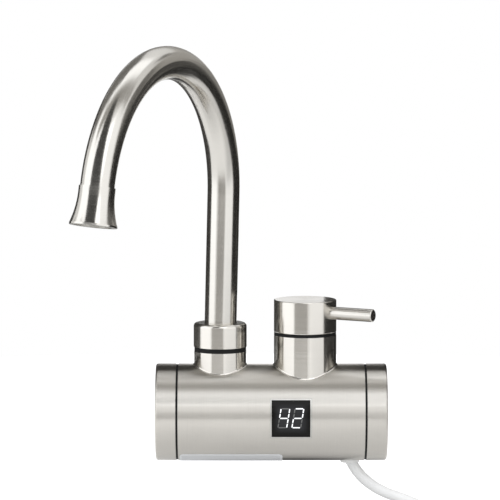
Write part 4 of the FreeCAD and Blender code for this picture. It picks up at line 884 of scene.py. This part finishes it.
@dataclass
class Display:
    """The display in the front of the body, with two seven-bar digits."""

    lens_radius: float = 0.03305
    digit_places: tuple[tuple[int, float], ...] = ((4, -0.00485), (2, 0.00465))
    half_width: float = 0.00297
    half_height: float = 0.00648
    rise: float = 0.0005
    bar: float = 0.00074
    bar_inset: float = 0.62
    bar_trim: float = 0.3
    corner_cut: float = 0.28
    blunt_end: float = 0.35
    notch_place: float = 0.52
    gap: float = 0.00028
    slant: float = math.tan(math.radians(9.3))
    proud: float = 0.00004

    def bar_spans(self) -> dict[Segment, list[tuple[Pair, Pair]]]:
        """The middle lines of each bar, upright bars in two pieces.

        Returns:
            Pairs of (across, up) ends for each bar, before the digits lean.
        """
        wide, tall = self.half_width, self.half_height
        inner = self.bar * self.bar_inset
        levels = ((Segment.TOP, tall), (Segment.MIDDLE, 0.0), (Segment.BOTTOM, -tall))
        spans = {name: [((-wide + inner, up), (wide - inner, up))] for name, up in levels}
        uprights = (
            (Segment.UPPER_LEFT, -wide, 1.0), (Segment.UPPER_RIGHT, wide, 1.0),
            (Segment.LOWER_LEFT, -wide, -1.0), (Segment.LOWER_RIGHT, wide, -1.0),
        )
        for name, across, side in uprights:
            near, far = inner * side, (tall - inner * self.bar_trim) * side
            middle, notch = tall * self.notch_place * side, self.gap * side
            ends = ((near, middle - notch), (middle + notch, far))
            spans[name] = [((across, start), (across, end)) for start, end in ends]
        return spans

    def outline(self, start: Pair, end: Pair) -> list[Vector]:
        """A bar with cut corners round a middle line.

        Args:
            start: One end of the middle line.
            end: The other end.

        Returns:
            The bar's corners, in order.
        """
        first, last = Vector(start), Vector(end)
        way = (last - first).normalized()
        side = Vector((-way.y, way.x)) * self.bar / 2.0
        cut = way * self.bar * self.corner_cut
        blunt = side * self.blunt_end
        return [
            first - blunt, first + cut - side, last - cut - side, last - blunt,
            last + blunt, last - cut + side, first + cut + side, first + blunt,
        ]

    def on_lens(self, across: float, up: float, lift: float) -> Point:
        """A place so far to the right, over the middle and in front of the curved lens."""
        depth = math.sqrt((self.lens_radius + lift) ** 2 - up ** 2)
        return (DISPLAY_X + across, BODY_AXIS_Y - depth, up)

    def bars(self, lit: bool) -> list[Rings]:
        """All lit or all unlit bars as thin plates on the lens.

        Args:
            lit: Whether to take the lit bars.

        Returns:
            The plates, each by its back and front outline.
        """
        plates = []
        for digit, place in self.digit_places:
            shown = [spans for name, spans in self.bar_spans().items() if (name in LIT_BARS[digit]) == lit]
            for span in sum(shown, []):
                corners = [(place + x + up * self.slant, up + self.rise) for x, up in self.outline(*span)]
                lifts = (0.0, self.proud)
                plates.append([[self.on_lens(*corner, lift) for corner in corners] for lift in lifts])
        return plates

    def build(self) -> None:
        """Add the bars."""
        lit = SegmentGlow("lit bar", (0.86, 0.87, 0.88), 0.7)
        # The unlit bars glow faintly too: painted light that lets them show through the dark window.
        unlit = SegmentGlow("unlit bar", (0.085, 0.085, 0.083), 0.6)
        mesh_piece("lit_bars", self.bars(True), lit, "led_face")
        mesh_piece("unlit_bars", self.bars(False), unlit, "led_face")

    def dress(self) -> None:
        """Finish the window, its rim and what is behind it."""
        dress(SmokedLens(), "display_window")
        dress(PlainMetal("silver rim", (0.64, 0.63, 0.6), 0.35), "display_bezel")
        dress(LED_FACE, "led_module")
        dress(CircuitBoard(), "display_board", "control_board")


@dataclass
class Spout:
    """The swivelling spout: root, gooseneck and flared nozzle."""

    screw_tip: Point = (RISER_X, -0.0507, 0.0377)
    screw_length: float = 0.006
    colour: Colour = (0.61, 0.59, 0.55)

    def build(self) -> None:
        """Add the screw that holds the spout in its socket."""
        screw = SocketScrew(self.screw_tip, TO_WALL, self.screw_length, radius=0.0015, flats=0.0015)
        mesh_piece("lock_screw", [screw.rings()], SCREW_STEEL, "plain_steel", "spout_lock_screw")

    def dress(self) -> None:
        """Finish the spout's pieces."""
        steel = SpoutSteel("spout steel", Grain.SPOUT, self.colour)
        dress(steel, "spout_tube", "outlet_nozzle")
        dress(BrushedSteel("collar steel", Grain.COLLAR), "spout_collar")
        dress(BLACK_RUBBER, "swivel_ring", "spout_o_rings", "aerator_washer")
        dress(BRASS, "spout_socket", "spout_spigot")
        dress(GREY_PLASTIC, "spout_bush")
        dress(PALE_PLASTIC, "aerator_insert")


@dataclass
class Handle:
    """The turning cap with its lever, and the cartridge under it."""

    screw_start: float = 0.0053
    screw_length: float = 0.01555
    lever_colour: Colour = (0.59, 0.57, 0.53)

    def build(self) -> None:
        """Add the set screw behind the lever."""
        way = -Vector(LEVER_WAY)
        tip = Vector(LEVER_ROOT) + way * self.screw_start
        screw = SocketScrew(tuple(tip), tuple(way), self.screw_length, radius=0.002, flats=0.002)
        rings = [screw.rings()]
        mesh_piece("set_screw", rings, SCREW_STEEL, "plain_steel", "lever_grub_screw", body="handle")

    def dress(self) -> None:
        """Finish the handle's pieces and the cartridge's."""
        dress(BrushedSteel("handle steel", Grain.HANDLE), "handle_cap")
        dress(BrushedSteel("lever steel", Grain.LEVER, self.lever_colour), "handle_lever")
        dress(BLACK_RUBBER, "turret_ring", "cartridge_seal")
        dress(BRASS, "cartridge_nut", "cartridge_stem")
        dress(CERAMIC, "fixed_ceramic_disc", "moving_ceramic_disc")
        dress(GREY_PLASTIC, "cartridge_housing")


@dataclass
class WallSide:
    """The inlet at the wall, with its half-inch pipe thread."""

    thread_radius: float = 0.01048
    thread_depth: float = 0.00116
    pitch: float = 0.001814
    steps_per_pitch: float = 12.0
    crest: float = 0.1
    run_out: float = 0.7
    neck_radius: float = 0.00988
    bore_radius: float = 0.0075
    inner_end: float = -0.056
    hexagon: Pair = (-0.0247, -0.0177)
    hexagon_edge: float = 0.0012
    flats: float = 0.027
    wall_end: float = 0.014
    points_round: int = 72

    def thread_reach(self, turn: float, along: float) -> float:
        """How far the pipe thread reaches from its axis.

        Args:
            turn: The angle round the axis.
            along: The distance out of the wall's face.

        Returns:
            The radius, cut back at both ends of the thread.
        """
        phase = (along / self.pitch - turn / math.tau) % 1.0
        flank = (abs(2.0 * phase - 1.0) - self.crest) / (1.0 - 2.0 * self.crest)
        rise = min(max(flank, 0.0), 1.0)
        root = self.thread_radius - self.thread_depth
        from_end = min(along, self.wall_end - along)
        return min(root + self.thread_depth * rise, root + from_end * self.run_out)

    def build(self) -> None:
        """Add the nipple with its thread and chamfered hexagon."""
        count = self.points_round
        turns = angles(count)
        first, last = self.hexagon
        hexagon = [hexagon_radius(turn, self.flats) for turn in turns]
        chamfer = [self.flats / 2.0] * count
        rows = [(along, [self.thread_radius] * count) for along in (self.inner_end, first)]
        rows += [(first, chamfer), (first + self.hexagon_edge, hexagon)]
        rows += [(last - self.hexagon_edge, hexagon), (last, chamfer)]
        rows += [(along, [self.neck_radius] * count) for along in (last, 0.0)]
        steps = round(self.wall_end / self.pitch * self.steps_per_pitch)
        for along in spaced(0.0, self.wall_end, steps):
            rows.append((along, [self.thread_reach(turn, along) for turn in turns]))
        rows += [(along, [self.bore_radius] * count) for along in (self.wall_end, self.inner_end)]
        rings = [
            [round_y(0.0, along, 0.0, reach, turn) for turn, reach in zip(turns, reaches)]
            for along, reaches in rows
        ]
        mesh_piece("threaded_nipple", [rings], BRASS, "brass", "inlet_nipple", loop=True)

    def dress(self) -> None:
        """Finish the inlet's pieces."""
        dress(BRASS, "valve_block")
        dress(BLACK_RUBBER, "inlet_washer")
        dress(GREY_PLASTIC, "inlet_saddle")
        dress(SCREW_STEEL, "inlet_strainer")
        dress(PlainMetal("rosette steel", (0.62, 0.61, 0.59), 0.2), "wall_flange")


class Inside:
    """The heater and the electrics inside the body."""

    def dress(self) -> None:
        """Finish the pieces that the body hides."""
        tank = PlainMetal("tank steel", (0.6, 0.6, 0.59), 0.3)
        dress(
            tank, "heater_tank", "tank_end_plate", "tank_screws", "heating_element", "temperature_probe",
            "board_bracket",
        )
        dress(BLACK_RUBBER, "tank_seal")
        dress(
            GREY_PLASTIC, "flow_switch_housing", "flow_plunger", "reed_switch", "terminal_block",
            "power_relay", "thermal_cutout", "cord_stop", "inner_leads",
        )


def sky_way(azimuth: float, elevation: float) -> Vector:
    """A direction from the tap, by degrees to the right of the camera's side and degrees up."""
    turn, lift = math.radians(azimuth), math.radians(elevation)
    return Vector((math.sin(turn) * math.cos(lift), -math.cos(turn) * math.cos(lift), math.sin(lift)))


@dataclass(frozen=True)
class Lamp:
    """A soft lamp that faces the tap, by the part of the sky that it fills."""

    name: str
    azimuth: float
    elevation: float
    width: float
    height: float
    radiance: float
    distance: float = 1.5
    colour: Colour = (0.97, 1.0, 1.05)
    watts: float = 4.0

    def build(self) -> None:
        """Add the lamp."""
        data = bpy.data.lights.new(self.name, "AREA")
        data.shape = "RECTANGLE"
        halves = (math.radians(angle / 2.0) for angle in (self.width, self.height))
        data.size, data.size_y = (2.0 * self.distance * math.tan(half) for half in halves)
        data.energy = self.radiance * self.watts * data.size * data.size_y
        data.color = self.colour
        light = linked(self.name, data)
        way = sky_way(self.azimuth, self.elevation)
        light.location = Vector(STUDIO_MIDDLE) + way * self.distance
        light.rotation_euler = way.to_track_quat("Z", "Y").to_euler()
        light.visible_camera = False


class Bend(Enum):
    """Which way a card curves round the tap."""

    UPRIGHT = "round an upright line"
    LYING = "round a line along the body"


@dataclass(frozen=True)
class Card:
    """A curved card that only reflections see, by the part of the sky that it fills."""

    name: str
    azimuths: Pair
    elevations: Pair
    tone: float
    distance: float = 0.75
    bend: Bend = Bend.UPRIGHT
    middle: Point = STUDIO_MIDDLE
    colour: Colour = (1.0, 0.97, 0.92)
    columns: int = 16
    rows: int = 8

    def place(self, azimuth: float, elevation: float) -> Vector:
        """A place on the card.

        Args:
            azimuth: Degrees to the right of the camera's side.
            elevation: Degrees up.

        Returns:
            The place in the shared frame.
        """
        way = sky_way(azimuth, elevation)
        if self.bend is Bend.LYING:
            way = Vector((math.tan(math.radians(azimuth)), *sky_way(0.0, elevation).yz))
        return Vector(self.middle) + way * self.distance

    def build(self) -> None:
        """Add the card."""
        mesh = bmesh.new()
        grid = [
            [mesh.verts.new(self.place(azimuth, up)) for azimuth in spaced(*self.azimuths, self.columns)]
            for up in spaced(*self.elevations, self.rows)
        ]
        for lower, upper in zip(grid, grid[1:]):
            for left in range(self.columns):
                right = left + 1
                mesh.faces.new((lower[left], lower[right], upper[right], upper[left]))
        material = bpy.data.materials.new(self.name)
        graph = Graph()
        graph.start(material)
        glow = graph.add("Emission", {"Color": self.colour, "Strength": self.tone})
        graph.add("OutputMaterial", {"Surface": glow.outputs[0]})
        sheet = meshed(self.name, mesh, material)
        sheet.visible_camera = False
        sheet.visible_diffuse = False
        sheet.visible_shadow = False


@dataclass(frozen=True)
class Floor:
    """The pale floor. In the metal it is dimmer near the tap and to its right, and dark behind it; near and
    behind the tap this is painted shade, seen only in reflections, that stands in for the tap's shadow.
    """

    height: float = -0.1081
    radius: float = 1.1
    edges: int = 96
    colours: tuple[Colour, Colour] = ((0.5, 0.5, 0.5), (0.53, 0.53, 0.53))
    speck_scale: float = 300.0
    seen_glow: float = 0.74
    near: Pair = (0.03, 0.3)
    near_glow: Pair = (0.25, 0.58)
    right: Pair = (0.12, 0.4)
    right_glow: float = 0.2
    back: Pair = (0.0, 0.1)
    back_shade: float = 0.97
    back_x: float = 0.02
    back_half: Pair = (0.04, 0.09)
    # The colour of the painted shadow that the metal sees on the floor behind the body.
    painted_shadow_colour: Colour = (0.02, 0.02, 0.02)

    def build(self) -> None:
        """Add the floor, which shows the tap's shadow."""
        mesh = bmesh.new()
        bmesh.ops.create_circle(mesh, cap_ends=True, segments=self.edges, radius=self.radius)
        material = bpy.data.materials.new("pale floor")
        graph = Graph()
        graph.start(material)
        where = graph.add("TexCoord").outputs["Object"]
        path = graph.add("LightPath").outputs
        parts = graph.split(where)
        # Painted shadow, seen only in the metal: glossy rays find the floor dark behind the body.
        behind = graph.ranged(parts["Y"], *self.back, 0.0, self.back_shade)
        aside = graph.maths("ABSOLUTE", graph.maths("SUBTRACT", parts["X"], self.back_x))
        shade = graph.maths("MULTIPLY", behind, graph.ranged(aside, *self.back_half, 1.0, 0.0))
        unlit = graph.maths("MULTIPLY", path["Is Glossy Ray"], shade)
        pale = graph.mixed(graph.noise(where, self.speck_scale), *self.colours)
        matt = graph.add("BsdfDiffuse", {"Color": graph.mixed(unlit, pale, self.painted_shadow_colour)})
        # Painted shade, seen only in the metal: the floor glows less for glossy rays near the tap.
        near = graph.ranged(graph.measure("LENGTH", where), *self.near, *self.near_glow)
        beside = graph.ranged(parts["X"], *self.right, 1.0, self.right_glow)
        lit = graph.maths("MULTIPLY", graph.maths("SUBTRACT", 1.0, shade), beside)
        mirrored = graph.maths("MULTIPLY", path["Is Glossy Ray"], graph.maths("MULTIPLY", near, lit))
        straight = graph.maths("MULTIPLY", path["Is Camera Ray"], self.seen_glow)
        strength = graph.maths("ADD", straight, mirrored)
        glow = graph.add("Emission", {"Color": WHITE, "Strength": strength})
        both = graph.add("AddShader", {0: matt.outputs[0], 1: glow.outputs[0]})
        graph.add("OutputMaterial", {"Surface": both.outputs[0]})
        floor = meshed("floor", mesh, material)
        floor.location = (*STUDIO_MIDDLE[:2], self.height)


@dataclass
class Studio:
    """A plain pale floor, soft lamps, and dark and grey cards that give the steel its bands."""

    ambient: float = 0.95
    lamps: tuple[Lamp, ...] = (
        Lamp("left_lamp", -67, 15, 54, 80, 0.6),
        Lamp("right_lamp", 43, 15, 56, 80, 0.36),
        Lamp("top_lamp", -6, 37, 60, 34, 0.75),
        Lamp("over_lamp", 180, 77, 60, 24, 0.6),
    )
    cards: tuple[Card, ...] = (
        Card("left_flag", (-172, -94), (-17, 40), 0.07, 0.375),
        Card("right_flag", (72, 122), (-20, 17), 0.03, 0.35),
        Card("low_flag", (122, 164), (-25, 15), 0.03, 0.3),
        Card("right_grey", (74, 112), (-14, 15), 0.06, 1.0),
        Card("right_high_grey", (74, 112), (15, 37), 0.18, 1.0),
        Card("middle_grey", (112, 132), (-14, 15), 0.07, 1.0),
        Card("far_grey", (132, 166), (-14, 20), 0.28, 0.99),
        Card("high_grey", (112, 166), (15, 40), 0.48, 1.0),
        Card("front_grey", (-38, 11), (-14, 1), 0.38),
        Card(
            "left_back_flag", (-54.3, 54.3), (118, 158), 0.06, 0.1, Bend.LYING,
            (-0.161, BODY_AXIS_Y, 0.033),
        ),
        Card(
            "right_back_flag", (-49.6, 49.6), (118, 158), 0.06, 0.1, Bend.LYING,
            (0.1325, BODY_AXIS_Y, 0.033),
        ),
        Card("overhead_grey", (-45, 45), (62, 80), 0.4, 0.75, Bend.LYING),
        Card("high_flag", (-165, -95), (30, 73), 0.22),
        Card("rear_grey", (166, 195), (20, 43), 0.36),
        Card("arch_flag", (122, 141), (29, 37), 0.15, 0.5, middle=(-0.093, -0.165, 0.248)),
        Card("spout_flag", (-46, 14), (3, 80), 0.06, 0.28, middle=(-0.125, -0.21, 0.19)),
    )

    def build_world(self) -> None:
        """Make the background white to the eye, metal and glass, and a little dimmer as a light."""
        world = bpy.data.worlds.new("studio")
        bpy.context.scene.world = world
        graph = Graph()
        graph.start(world)
        path = graph.add("LightPath").outputs
        seen = graph.maths("MAXIMUM", path["Is Camera Ray"], path["Is Glossy Ray"])
        seen = graph.maths("MAXIMUM", seen, path["Is Transmission Ray"])
        strength = graph.ranged(seen, 0.0, 1.0, self.ambient, 1.0)
        sky = graph.add("Background", {"Color": WHITE, "Strength": strength})
        graph.add("OutputWorld", {"Surface": sky.outputs[0]})

    def build(self) -> None:
        """Add the world, floor, lamps and cards."""
        bpy.context.scene.view_settings.view_transform = "Standard"
        self.build_world()
        for thing in (Floor(), *self.lamps, *self.cards):
            thing.build()


def main() -> None:
    """Build the scene."""
    logging.basicConfig(level=logging.INFO, format="%(name)s: %(message)s")
    PhotoCamera().build()
    for assembly in (MainsCord(), Display(), Barrel(), Spout(), Handle(), WallSide()):
        assembly.build()
        assembly.dress()
    Inside().dress()
    Studio().build()


if __name__ == "__main__":
    main()
